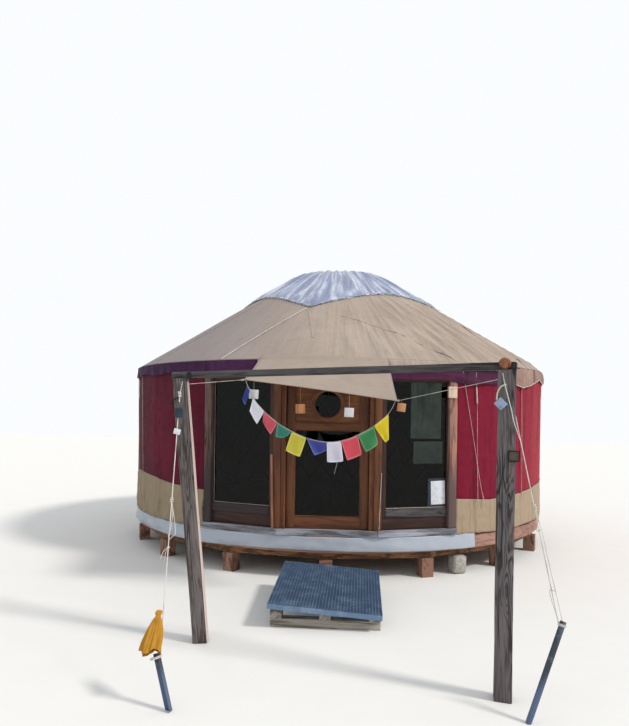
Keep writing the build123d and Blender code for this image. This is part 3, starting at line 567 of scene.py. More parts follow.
def rope(cut, points, thick, smooth=True):
    """Three strands laid round a path, a third of a turn apart: each strand's middle keeps 0.22 of the rope's
    thickness from the path and turns once in five thicknesses."""
    path = spread(points, thick * 0.7) if smooth else np.asarray(points, float)
    run, over, down = frames_along(path)
    far = np.concatenate([[0], np.cumsum(np.linalg.norm(np.diff(path, axis=0), axis=1))])
    ring = thick * 0.28 * turned(circle(6)[None, :, None], over[:, None], down[:, None])
    for strand in range(3):
        twist = (2 * np.pi * (far / (5.0 * thick) + strand / 3))[:, None]
        middle = path + thick * 0.22 * turned(twist, over, down)
        cut.lay(middle[:, None] + ring, closed=True, ended=True)
    return cut


def straight(start, end, gap):
    """Points from start to end, about gap apart."""
    start, end = np.asarray(start, float), np.asarray(end, float)
    return np.linspace(start, end, max(3, int(np.linalg.norm(end - start) / gap)))


def hitch(cut, middle, axis, reach, thick, turns=2.0, drop=0.0):
    """A knot: rope wound in a close helix of a given reach round an axis, with both ends tucked in."""
    axis = unit(axis)
    over, down = square_to(axis, (0.31, 0.87, 0.38))
    t = np.linspace(0, 1, int(40 * turns))[:, None]
    bend = 2 * np.pi * turns * t
    radius = reach * (0.35 + 0.65 * np.sin(np.pi * np.clip(t, 0.02, 0.98)) ** 0.4)
    climb = (t - 0.5) * (thick * turns * 1.1 + drop)
    path = middle + radius * turned(bend, over, down) + axis * climb
    return rope(cut, path, thick, smooth=False)


# The roof canvas: painted shade, duller towards -X and darker in the hollows of its fine folds.
canvas = cloth_finish("roof_canvas_cloth", "tan_canvas", "A39489", "7F7265", "AEA196", marks=0.25,
                      pulls=0.3, shaded_left="8A8284")
awning_cloth = cloth_finish("awning_cloth", "tan_canvas", "9B8D83", "817365", "A6988D", marks=0.25)
# The tan band: painted light, lighter towards +X where the sun falls.
band_cloth = cloth_finish("tan_band_cloth", "tan_canvas", "8F806A", "66573F", "9C8D75", marks=0.6,
                          lit_right="A28F7A")
# Painted shade: a darker, pinker copy of the tan canvas with strong dark marks, for the shaded underside of
# the canvas turned out under the eave.
shaded_eave_cloth = cloth_finish("shaded_eave_fold_cloth", "tan_canvas", "8A6E64", "4A3439", "A48A7E", marks=0.9)
# The red wall cloth: painted light, brighter towards +X and brightest at the far right where the sun falls.
red_cloth = cloth_finish("red_wall_cloth", "red_canvas", "4D0820", "22050F", "600B28", marks=0.65,
                         lit_right="78102C", far="B23440")
# The valance: painted light, a brighter, pinker purple towards +X where the sun falls.
purple_cloth = cloth_finish("valance_cloth", "purple_cloth", "38193C", "1F0C20", "4C284C", marks=0.8,
                            lit_right="4A2039")
orange_cloth = cloth_finish("tied_cloth", "orange_cloth", "A8761F", "7A5212", "C08E38", marks=0.5)
curtain_cloth = cloth_finish("inner_curtain_cloth", "flag_cloth", "BCC2BC", "727A74", "D2D6D0", marks=0.9,
                             glow=0.45)
skirt = skirt_finish()
felt = felt_finish()
sheeting = cover_finish()
glass = pane_finish()
weathered = timber_finish("weathered_post", "weathered_board", "6D696B", "373132", crack=1.7, grey="7B7473",
                          rings=84.0, gloss=0.8)
# The left porch post's finish: the weathered wood with painted sunlight on its +X face.
half_sunlit = timber_finish("half_sunlit_post", "weathered_board", "6A6362", "393130", crack=1.2,
                              grey="7B7473", rings=84.0, gloss=0.8, sunlit_side="E2CCC2")
putty = stone_finish("glazing_putty", "joinery", "B9B4AD", "8D8780")
weathered_brown = timber_finish("weathered_brown", "joinery", "6B5048", "33231E", crack=0.8, grey="74645F",
                                gloss=0.7, soaked="383033")
beam_wood = timber_finish("beam_wood", "weathered_board", "504C4E", "2A2829", crack=1.0, grey="656164",
                          gloss=0.8)
sole_wood = timber_finish("sole_board", "weathered_board", "999BA6", "66646A", crack=0.7, grey="B2B8C4",
                          gloss=0.7)
oiled = timber_finish("oiled_joinery", "joinery", "71452A", "482A19", gloss=0.42, figured=0.6)
oiled_dark = timber_finish("oiled_dark", "joinery", "40251B", "26140F", gloss=0.4, figured=0.7)
panel_wood = timber_finish("oiled_panel", "joinery", "744828", "4C2B18", rings=34.0, gloss=0.4, figured=0.6)
pale_post = timber_finish("pale_post", "joinery", "AE7F6E", "704D42", crack=0.5, grey="94807A", gloss=0.7,
                          soaked="5A4A4A")
pallet_wood = timber_finish("pallet_boards", "deck_timber", "A39C90", "6F6961", crack=0.6, grey="B4B0A8",
                            gloss=0.7)
floor_wood = timber_finish("floor_planks", "deck_timber", "B98C5C", "7E5632", gloss=0.55)
pole_wood = timber_finish("planed_pole", "pole_timber", "BE9360", "8C6238", marks="Object", knots=0.3)
lath_wood = timber_finish("wall_lath", "pole_timber", "B88A58", "855B33", marks="Object",
                          scale=(1.0, 1.0, 0.2), knots=0.2)
sawn_x = timber_finish("sawn_bearer", "deck_timber", "8D6444", "573A26", crack=0.5, marks="Object")
# Painted light: the rim's colour is lightened to stand for the low sun that falls on it.
sunlit_rim_wood = timber_finish("sunlit_deck_rim_wood", "deck_timber", "AC8678", "856357", crack=0.3, marks="Object",
                         scale=(0.3, 0.3, 1.0), figured=0.6)
leg_wood = timber_finish("deck_leg_wood", "deck_timber", "94705F", "5A3D31", crack=0.8, marks="Object",
                         scale=(1.0, 1.0, 0.2))
small_wood = timber_finish("small_wood", "pole_timber", "B9855A", "865634", gloss=0.6, figured=0.5)
lath_pale = timber_finish("pale_lath", "pole_timber", "A87662", "7C5244", gloss=0.6, figured=0.6)
cream_wood = timber_finish("cream_block", "pole_timber", "D2D2D6", "A3A1A4", gloss=0.65, figured=0.4)
cap_wood = timber_finish("cap_block", "pole_timber", "D0B8A6", "A08672", gloss=0.65, figured=0.4)
log_wood = timber_finish("cut_log", "pole_timber", "A0684C", "653C29", crack=0.6, gloss=0.6)
iron = metal_finish("black_iron", "black_iron", "141414", "3A3632", 0.6, 0.42)
dark_case = metal_finish("dark_case", "black_iron", "182434", "2B3A4C", 0.1, 0.5)
brown_card = metal_finish("brown_card", "black_iron", "4C413C", "3A312D", 0.0, 0.6)
grating = metal_finish("grating_metal", "galvanised", "667E9C", "8298B0", 0.5, 0.45, 9.0)
stake_metal = metal_finish("stake_metal", "galvanised", "3B424D", "5C6675", 0.5, 0.45, 14.0, low="586886")
white_card = metal_finish("white_card", "white_skirt", "D4D9E0", "B9C0C8", 0.0, 0.6, 30.0)
blue_card = metal_finish("blue_grey_card", "white_skirt", "8C9CB8", "717F99", 0.0, 0.5, 30.0)
white_rope = rope_finish("white_rope", "rope", "D6D3CC", "958E80")
grey_rope = rope_finish("tie_rope", "rope", "BDB8AC", "7C7568")
stone = stone_finish("field_stone", "concrete", "B6B2AD", "85807B")


def dress(finish, *nodes):
    """Puts a finish on CAD nodes that stay as they are."""
    for node in nodes:
        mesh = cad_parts[node].data
        mesh.materials.clear()
        mesh.materials.append(finish.material)


dress(pole_wood, "roof_poles", "crown_ring", "crown_ribs", "top_band")
dress(lath_wood, "lattice_left", "lattice_right")
dress(sawn_x, "bearer_ring", "cross_bearers", "deck_joists", "centre_pier")
dress(sunlit_rim_wood, "deck_rim")
dress(leg_wood, "deck_legs")
dress(felt, *[f"felt_wall_{side}_{end}" for side in ("left", "right") for end in ("front", "back")])
dress(felt, *[f"roof_felt_{side}" for side in ("front", "right", "back", "left")])
dress(glass, "door_glass")
dress(iron, "door_hinges", "jamb_hinges")


def points_of(mesh):
    """A mesh's points, one in a row."""
    flat = np.empty(len(mesh.vertices) * 3, np.float32)
    mesh.vertices.foreach_get("co", flat)
    return flat.reshape(-1, 3)


class Side:
    """One flat side of the front, between two angles: x along it from its middle, y inward, z up."""

    def __init__(self, start, end):
        left, right = polar(front_radius, start), polar(front_radius, end)
        self.origin = (left + right) / 2
        self.over = unit(right - left)
        self.inward = np.array([-self.over[1], self.over[0], 0.0])
        self.half = np.linalg.norm(right - left) / 2

    def at(self, x, y, z):
        """The place of one point, or of a grid of them."""
        x, y, z = [value[..., None] for value in np.broadcast_arrays(x, y, z)]
        return self.origin + x * self.over + y * self.inward + z * up

    def reach(self, node):
        """A node's lowest and highest x, y and z."""
        near = points_of(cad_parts[node].data) - self.origin
        local = np.stack([near @ self.over, near @ self.inward, near[:, 2]], axis=1)
        return local.min(axis=0), local.max(axis=0)

    def upright(self, cut, x0, x1, y0, y1, z0, z1, seed, **more):
        """A board that stands, with its grain upwards."""
        x, y = (x0 + x1) / 2, (y0 + y1) / 2
        return board(cut, self.at(x, y, z0), self.at(x, y, z1), self.over, x1 - x0, y1 - y0, seed, **more)

    def level(self, cut, x0, x1, y0, y1, z0, z1, seed, **more):
        """A board that lies along the side; its depth is inward."""
        y, z = (y0 + y1) / 2, (z0 + z1) / 2
        return board(cut, self.at(x0, y, z), self.at(x1, y, z), (0, 0, 1), z1 - z0, y1 - y0, seed, **more)

    def bead(self, cut, x0, x1, z0, z1, y, size, seed):
        """A moulding round a rectangle: a quarter-round carried along four mitred sides."""
        turn = np.linspace(0, np.pi / 2, 5)
        out = np.concatenate([[0.0], size * np.cos(turn), [0.0]])
        deep = np.concatenate([[0.0], size * np.sin(turn), [0.0]])
        corners = np.array([[x0, z0], [x1, z0], [x1, z1], [x0, z1], [x0, z0]])
        lean = np.array([[1, 1], [-1, 1], [-1, -1], [1, -1], [1, 1]])
        flat = corners[:, None] + lean[:, None] * out[None, :, None]
        grid = self.at(flat[..., 0], y - deep, flat[..., 1])
        for run in range(4):
            cut.lay(grid[run:run + 2, ::-1], shift=(seed + run * 0.9, seed * 0.3))


door_side = Side(front - door_half, front + door_half)
left_side = Side(front - window_end, front - door_half)
right_side = Side(front + door_half, front + window_end)
window_sides = {"left": left_side, "right": right_side}


def photo_camera():
    """The photo's own view: its focal length and its horizon's row are in pixels of its height."""
    focal, horizon, tall = 631, 412, 726
    view = bpy.data.cameras.new("photo_view")
    view.sensor_width = 36
    view.lens = 36 * focal / tall
    view.shift_y = (horizon - tall / 2) / tall
    view.clip_end = 200
    made = bpy.data.objects.new("photo_view", view)
    made.location = (0.32, -9.044, 1.68)
    made.rotation_euler = (radians(90), radians(-0.8), radians(4.1))
    bpy.context.scene.collection.objects.link(made)
    bpy.context.scene.camera = made


def studio():
    """A pale floor, an even sky that looks white, and one broad soft lamp from the right."""
    scene = bpy.context.scene
    scene.view_settings.view_transform = "Standard"
    world = bpy.data.worlds.new("sky")
    scene.world = world
    world.use_nodes = True
    tree = world.node_tree
    sky = tree.nodes["Background"]
    sky.inputs["Color"].default_value = (0.96, 0.98, 1.0, 1.0)
    path = tree.nodes.new("ShaderNodeLightPath")
    level = None
    for name in ("Is Camera Ray", "Is Glossy Ray", "Is Transmission Ray"):
        peak = tree.nodes.new("ShaderNodeMath")
        peak.operation = "MAXIMUM"
        tree.links.new(path.outputs[name], peak.inputs[0])
        if level:
            tree.links.new(level, peak.inputs[1])
        level = peak.outputs[0]
    strength = tree.nodes.new("ShaderNodeMapRange")
    strength.inputs["To Min"].default_value = 0.56
    strength.inputs["To Max"].default_value = 1.0
    tree.links.new(level, strength.inputs["Value"])
    tree.links.new(strength.outputs[0], sky.inputs["Strength"])
    sun = bpy.data.lights.new("soft_sun", "SUN")
    sun.energy = 2.1
    sun.angle = radians(9)
    sun.color = (1.0, 0.95, 0.88)
    lamp = bpy.data.objects.new("soft_sun", sun)
    lamp.rotation_euler = (radians(46), radians(12), radians(58))
    scene.collection.objects.link(lamp)

    ground = Finish("floor_paint", "concrete", {"Roughness": 0.9, "Specular IOR Level": 0.1})
    grain = ground.noise(ground.place(), 3.0, 3.0)
    ground.paint(ground.mix(grain, (0.8, 0.8, 0.79, 1), (0.84, 0.84, 0.83, 1)), 0.9)
    reach = np.linspace(-30, 30, 3)
    grid = np.stack(np.meshgrid(reach, reach, [0.0], indexing="ij"), axis=-1)[:, :, 0]
    mesh = bpy.data.meshes.new("floor")
    order = [[0, 3, 4, 1], [1, 4, 5, 2], [3, 6, 7, 4], [4, 7, 8, 5]]
    mesh.from_pydata(grid.reshape(-1, 3), [], order)
    mesh.materials.append(ground.material)
    floor = bpy.data.objects.new("floor", mesh)
    scene.collection.objects.link(floor)


photo_camera()
studio()

# The string of flags: the part's own points under the awning's front edge, in metres
awning_left = np.array([-0.686, -3.602, 1.951])
awning_right = np.array([0.642, -3.509, 1.785])
string_points = [
    (-0.677, 1.9495), (-0.662, 1.905), (-0.636, 1.861), (-0.611, 1.801), (-0.577, 1.751), (-0.541, 1.713),
    (-0.509, 1.678), (-0.473, 1.645), (-0.434, 1.613), (-0.396, 1.582), (-0.353, 1.554), (-0.308, 1.53),
    (-0.265, 1.507), (-0.223, 1.486), (-0.182, 1.47), (-0.14, 1.453), (-0.093, 1.439), (-0.049, 1.429),
    (-0.004, 1.423), (0.037, 1.419), (0.08, 1.42), (0.122, 1.425), (0.163, 1.432), (0.211, 1.445),
    (0.259, 1.463), (0.306, 1.485), (0.352, 1.508), (0.399, 1.534), (0.443, 1.564), (0.486, 1.598),
    (0.528, 1.632), (0.567, 1.671), (0.596, 1.712), (0.615, 1.75), (0.629, 1.7846),
]


def under_edge(x, z, inside=0.004):
    """Points below the awning's front edge: y follows the edge along x."""
    share = (np.asarray(x) - awning_left[0]) / (awning_right[0] - awning_left[0])
    y = awning_left[1] + share * (awning_right[1] - awning_left[1]) + inside
    return np.stack(np.broadcast_arrays(x, y, z), axis=-1)


def flag_string():
    line = bpy.data.curves.new("flag_string", "CURVE")
    line.dimensions = "3D"
    spline = line.splines.new("NURBS")
    spline.points.add(len(string_points) - 1)
    for point, (x, z) in zip(spline.points, string_points):
        point.co = (*under_edge(x, z), 1.0)
    spline.order_u = 3
    spline.use_endpoint_u = True
    spline.resolution_u = 8
    bare = bpy.data.objects.new("flag_string", line)
    bpy.context.scene.collection.objects.link(bare)
    bpy.context.view_layer.update()
    sampled = bpy.data.meshes.new_from_object(bare)
    line.bevel_depth = 0.002
    line.bevel_resolution = 2
    line.use_fill_caps = True
    line.materials.append(grey_rope.material)
    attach(bare, "yurt")
    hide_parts("bunting_cord")
    tuple(under_edge(*string_points[0]))
    return points_of(sampled)


string_line = flag_string()

# Each flag: its name, its colour, the string's points it hangs between, and its lower corners as x and z
flag_cloths = [
    ("blue", "23357A", 1, 2, [(-0.704, 1.785), (-0.677, 1.732)]),
    ("white_first", "C9CBD6", 3, 6, [(-0.638, 1.68), (-0.573, 1.566)]),
    ("dusty_red", "B04A55", 6, 9, [(-0.524, 1.59), (-0.452, 1.478)]),
    ("teal", "2F7466", 9, 12, [(-0.408, 1.458), (-0.321, 1.457)]),
    ("yellow_green", "B4AC3C", 12, 15, [(-0.321, 1.342), (-0.195, 1.288)]),
    ("blue_second", "39428A", 15, 19, [(-0.069, 1.301), (0.053, 1.358)]),
    ("white_second", "C3C2D0", 19, 22, [(0.042, 1.245), (0.183, 1.254)]),
    ("coral", "C44A56", 22, 25, [(0.217, 1.262), (0.343, 1.316)]),
    ("green", "3C7F4E", 25, 28, [(0.378, 1.335), (0.484, 1.408)]),
    ("yellow", "D0BC22", 28, 31, [(0.547, 1.423), (0.576, 1.452)]),
]


def flags():
    """Each flag hangs from a stretch of the string: its rows go from the string to its lower edge, and it
    bellies and ripples square to the string's plane. Its hem is a paler strip on both faces."""
    fine = {"weave": 1400.0, "sheen": 0.1}
    hem_off = 0.0011
    for order, (name, colour, first, last, lower) in enumerate(flag_cloths):
        dye = cloth_finish(f"flag_{name}", "flag_cloth", colour, colour, colour, marks=0.0, **fine)
        away = [np.linalg.norm(string_line - under_edge(*string_points[n]), axis=1) for n in (first, last)]
        stretch = string_line[np.argmin(away[0]):np.argmin(away[1]) + 1]
        share = np.linspace(0, 1, 17)
        steps = np.linspace(0, 1, len(stretch))
        top = np.stack([np.interp(share, steps, stretch[:, axis]) for axis in range(3)], axis=1)
        way = unit(np.gradient(top, axis=0))
        top = top + np.stack([way[:, 2], 0 * share, -way[:, 0]], axis=1) * 0.003
        corners = under_edge(*np.array(lower).T)
        bottom = corners[0] + share[:, None] * (corners[1] - corners[0])
        down = np.linspace(0, 1, 15)[:, None, None]
        grid = top[None] * (1 - down) + bottom[None] * down
        fall, arch = down[..., 0], np.sin(np.pi * share)
        wave = ripple(order + 40, share * 6, fall * 3, 0.8, 1.6, 5)
        belly = 0.006 * arch * fall * (1 if order % 2 else -1)
        grid[..., 1] += fall ** 0.7 * 0.006 * wave + belly
        grid[..., 2] -= 0.005 * arch * fall ** 3
        cloth = Cut().lay(grid).piece(f"flag_{name}", dye, thick=0.0012, side=0.0,
                                      stands_for=("bunting_flags",) if order == 0 else ())
        hem = Cut()
        for strip in (grid[:, :2], grid[:, -2:], grid[-2:], grid[:2]):
            for face in (-hem_off, hem_off):
                hem.lay((strip + (0, face, 0))[:, ::int(np.sign(face))])
        paler = "".join(f"{min(255, int(int(colour[n:n + 2], 16) * 0.85 + 46)):02X}" for n in (0, 2, 4))
        edging = cloth_finish(f"flag_hem_{name}", "flag_cloth", paler, colour, paler, marks=0.2, **fine)
        hem_piece = hem.piece(f"flag_hem_{name}", edging)


flags()


def roof_lift(turn, radius):
    """How far the roof canvas stands off its cone: long folds that fan over the right side, a few broad ones
    in front, shorter creases near the eave, and slow swells."""
    turn = (np.asarray(turn, float) + 180) % 360 - 180
    x, y = radius * np.cos(np.radians(turn)), radius * np.sin(np.radians(turn))
    right = ease(turn, -80, -58) * (1 - ease(turn, 10, 40))
    swing = ripple(11, x, y, 0.8, 2.2)
    fan = np.radians(turn - 7.0 * (radius - 1.5))
    long_fold = ridged(fan * 360 / 11.6 + 1.1 * swing, 1.6)
    rise = 0.034 * right * ease(radius, 0.9, 1.7) * long_fold * (0.75 + 0.35 * swing)
    front = ease(turn, -92, -82) * (1 - ease(turn, -62, -52))
    broad = ridged(fan * 360 / 15.0 + 0.8, 2)
    rise = rise + 0.016 * front * ease(radius, 1.5, 2.3) * broad
    short = rounded(fan * 360 / 2.3 + 2 * swing, 3)
    low_front = ease(turn, -80, -70) * (1 - ease(turn, -50, -36)) * ease(radius, 2.1, 2.5)
    rise = rise + 0.006 * low_front * short
    soft = rounded(np.radians(turn * 40 / 3) + 1.6 * ripple(12, x, y, 0.6, 1.5), 2)
    rise = rise + 0.006 * soft * (1 - right) * ease(radius, 1.2, 2.2)
    rise = rise + 0.0022 * (1 + ripple(13, x, y, 2.5, 7.0))
    return rise * (1 - 0.8 * ease(radius, 2.6, 2.75)) + 0.001


def on_roof(turn, radius, above=0.0):
    """Points on the roof canvas: the cone's height, with the distance drawn in between poles, and the fold's
    lift along the slope's normal."""
    turn, radius = np.broadcast_arrays(np.asarray(turn, float), np.asarray(radius, float))
    drawn = drawn_in(turn, roof_drawn)
    lift = roof_lift(turn, radius) + above
    height = crown_height - (radius - crown_radius) * roof_fall + lift * cos(roof_slope)
    return polar(radius * drawn + lift * sin(roof_slope), turn, height)


def slope_normal(path):
    """The way square to the roof's slope, at points round the axis."""
    return unit(path * (1, 1, 0)) * sin(roof_slope) + np.array([0, 0, cos(roof_slope)])


def over_roof(turn, radius, far_turn, far_radius, count, above):
    """Points on the roof along a line that is straight in plan, between two places given as angle and
    radius."""
    start, end = polar(radius, turn), polar(far_radius, far_turn)
    line = start + np.linspace(0, 1, count)[:, None] * (end - start)
    return on_roof(np.degrees(np.arctan2(line[:, 1], line[:, 0])), np.hypot(line[:, 0], line[:, 1]), above)


def strap(cut, path, normal, wide, thick):
    """A flat strip along a path, lying square to its normals: a low arch over its width, closed below."""
    run = unit(np.gradient(path, axis=0))
    over = unit(np.cross(normal, run))
    share = np.array([-0.5, -0.42, 0.0, 0.42, 0.5, 0.0])
    rise = np.array([0.0, 1.0, 1.0, 1.0, 0.0, -0.3]) * thick
    out = normal[:, None] * rise[None, :, None]
    grid = path[:, None] + over[:, None] * (share * wide)[None, :, None] + out
    return cut.lay(grid[:, ::-1], closed=True, ended=True)


def roof():
    """The canvas with its hem, which hangs lower to the right of the front, and its seams and cords, each
    from one angle and radius to another."""
    turn = np.linspace(-180, 180, 640, endpoint=False)
    radius = np.concatenate([np.linspace(canvas_start, 2.7, 50), np.linspace(2.72, canvas_end, 4)])
    slope = on_roof(turn[None], radius[:, None])
    hem_drop = np.array([0.008, 0.02, 0.035, 0.048])[:, None]
    down = hem_drop / hem_drop[-1]
    lap = ease(turn, -77.4, -76.8) * (1 - ease(turn, -47.5, -45.5)) * down
    hang = lap * (0.06 - 0.04 * ease(turn, -74, -50))
    wave = 0.0006 * ripple(21, turn / 8, hem_drop * 4, 2.0, 5.0) * down
    edge = slope[-1:]
    out = unit(edge * (1, 1, 0))
    hem = edge - (hem_drop + hang)[..., None] * up + out * (wave + 0.026 * lap ** 0.5)[..., None]
    grid = np.concatenate([slope, hem])
    far = np.concatenate([radius, canvas_end + hem_drop[:, 0]])
    marks = joined(arc_marks(turn[None], 2.0, far[:, None] / cos(roof_slope)), 2.0)
    cut = Cut().lay(grid[::-1], marks[::-1], closed=True)
    cloth = cut.piece("roof_cloth", canvas, thick=0.0028, side=-1.0, stands_for=("roof_canvas",))
    seams = Cut()
    lines = [(-101.5, 1.7, -115.2, seam_end), (-99.8, 1.72, -94.6, 2.352), (-87.1, 1.85, -61.0, seam_end),
             (-134.8, 1.36, -141.0, seam_end), (-30.0, 1.3, -34.0, seam_end), (0, 1.25, -2, seam_end),
             (35, 1.25, 33, seam_end), (70, 1.3, 66, seam_end), (105, 1.3, 102, seam_end),
             (140, 1.2, 139, seam_end), (172, 1.3, 171, seam_end)]
    for line in lines:
        path = over_roof(*line, 220, 0.0014)
        strap(seams, path, slope_normal(path), 0.022, 0.0018)
    rim = on_roof(np.linspace(-180, 180, 641), 2.7405, 0.0006)
    strap(seams, rim, slope_normal(rim), 0.016, 0.0014)
    stitched = seams.piece("roof_seams", canvas)
    cords = Cut()
    for turn, radius, far_turn in ((-101.0, 1.66, -114.5), (-9.0, 1.47, -3.0), (81, 1.47, 86),
                                   (171, 1.47, 176)):
        rod(cords, over_roof(turn, radius, far_turn, seam_end + 0.003, 160, 0.0085), 0.0042, 6)
    cords.piece("cover_ties", white_rope)


roof()

cover_corners = [(-100.0, 1.64), (-10.0, 1.45), (80.0, 1.45), (170.0, 1.45)]


def cover_edge(turn):
    """The clear cover's reach at an angle: between two corners its edge is drawn in to a middle reach."""
    middle = 1.23
    reach = np.zeros_like(turn)
    for (here, near), (there, far) in zip(cover_corners, cover_corners[1:] + [(260.0, 1.64)]):
        share = ((turn - here) % 360) / (there - here)
        inside = (share >= 0) & (share <= 1)
        chord = near + (far - near) * share
        side = middle + abs(2 * share - 1) ** 1.7 * (chord - middle)
        reach = np.where(inside, side, reach)
    return reach


def crown_cover():
    """A sheet from the crown's middle to its edge; it domes over the ribs, drops over the ring's shoulder and
    lies on the canvas, with folds that run down it and gather at the lacing."""
    turn = np.linspace(-180, 180, 480, endpoint=False)
    share = np.concatenate([[0.004], np.linspace(0.03, 1, 46)])[:, None]
    reach = cover_edge(turn)[None] * share
    dome = np.interp(reach, [0, 0.18, 0.39, 0.52, 0.6, 0.68, 0.8],
                     [3.634, 3.63, 3.61, 3.584, 3.56, 3.518, 3.445])
    cone = on_roof(turn[None], np.maximum(reach, canvas_start), 0.006)
    blend = ease(reach, 0.6, 0.86)
    x, y = reach * np.cos(np.radians(turn)), reach * np.sin(np.radians(turn))
    fold = ridged(np.radians(turn * 14)[None] + 1.4 * ripple(31, x, y, 1.5, 3.5), 1.8)
    lift = 0.03 * fold * ease(reach, 0.15, 0.75) + 0.004 * (1 + ripple(32, x, y, 6, 14)) * ease(share, 0.3,
                                                                                                1.0)
    grid = polar(reach, turn, dome) * (1 - blend[..., None]) + cone * blend[..., None]
    tuck = 1 - ease(share, 0.93, 1.0) * 0.8
    grid = grid + slope_normal(polar(np.ones_like(reach), turn)) * (lift * tuck)[..., None]
    marks = joined(arc_marks(turn[None], 1.0, reach * 1.1), 1.0)
    cut = Cut().lay(grid[::-1], marks[::-1], closed=True, ended="last")
    cover = cut.piece("crown_cover_sheet", sheeting, thick=0.0018, side=1.0, stands_for=("crown_cover",))
    trim, cords = Cut(), Cut()
    around = np.linspace(-180, 180, 721)
    reach = cover_edge(around)
    path = on_roof(around, reach - 0.02, 0.012)
    strap(trim, path, slope_normal(path), 0.03, 0.0022)
    hem = trim.piece("cover_hem", sheeting)
    laced = np.linspace(-180, 180, 361)
    zig = cover_edge(laced) + np.where(np.arange(361) % 2, 0.035, -0.018)
    rope(cords, on_roof(laced, zig, 0.017), 0.0045, smooth=False)
    lacing = cords.piece("cover_lacing", white_rope)


crown_cover()


def wall_grid(start, end, low, high, out, columns, rows, shape):
    """Rows of points round the wall between two angles and two heights, moved out by shape(turn, height).
    With them come their marks, the columns' angles, and a fade from 1 at the lowest row to 0 at the
    highest."""
    turn = np.linspace(start, end, columns)
    rise = np.linspace(0, 1, rows)[:, None]
    height = rise * (high - low) + low
    radius = out * drawn_in(turn, wall_drawn) + shape(turn, height)
    return polar(radius, turn, height), arc_marks(turn, out, height), turn, 1 - rise


def red_shape(turn, height):
    """Upright folds that fade downwards, hollows between girth ropes, and slow swells."""
    pull = ripple(51, turn / 9, height * 0.6, 2.0, 6.0)
    swell = ripple(52, turn / 20, height * 2.0, 1.0, 3.0)
    tight = np.exp(-((height - 1.32) / 0.03) ** 2) + np.exp(-((height - 1.86) / 0.03) ** 2)
    drape = ease(height, 1.7, 2.15)
    right = ease(turn, -62, -46) * (1 - ease(turn, -10, 8))
    upright = rounded(np.radians(turn * 112) + 2.4 * pull, 3)
    fine = 0.007 * right * upright * (0.35 + 0.65 * drape)
    slack = 0.0035 + 0.0028 * pull * (0.5 + drape) + 0.003 * swell - 0.003 * tight
    return np.maximum(slack, 0.0008) + fine


def band_top(turn):
    """Height of the tan band's upper edge at an angle: pulled up at the left end, let down at the right."""
    turn = (np.asarray(turn, float) + 90) % 360 - 90
    return np.interp(turn, [-62, -58, -51, -40, -20, 200, 207.5, 222, 236, 241],
                     [0.8, 0.79, 0.767, 0.79, tan_top, tan_top, 0.932, 0.9, 0.85, 0.846])


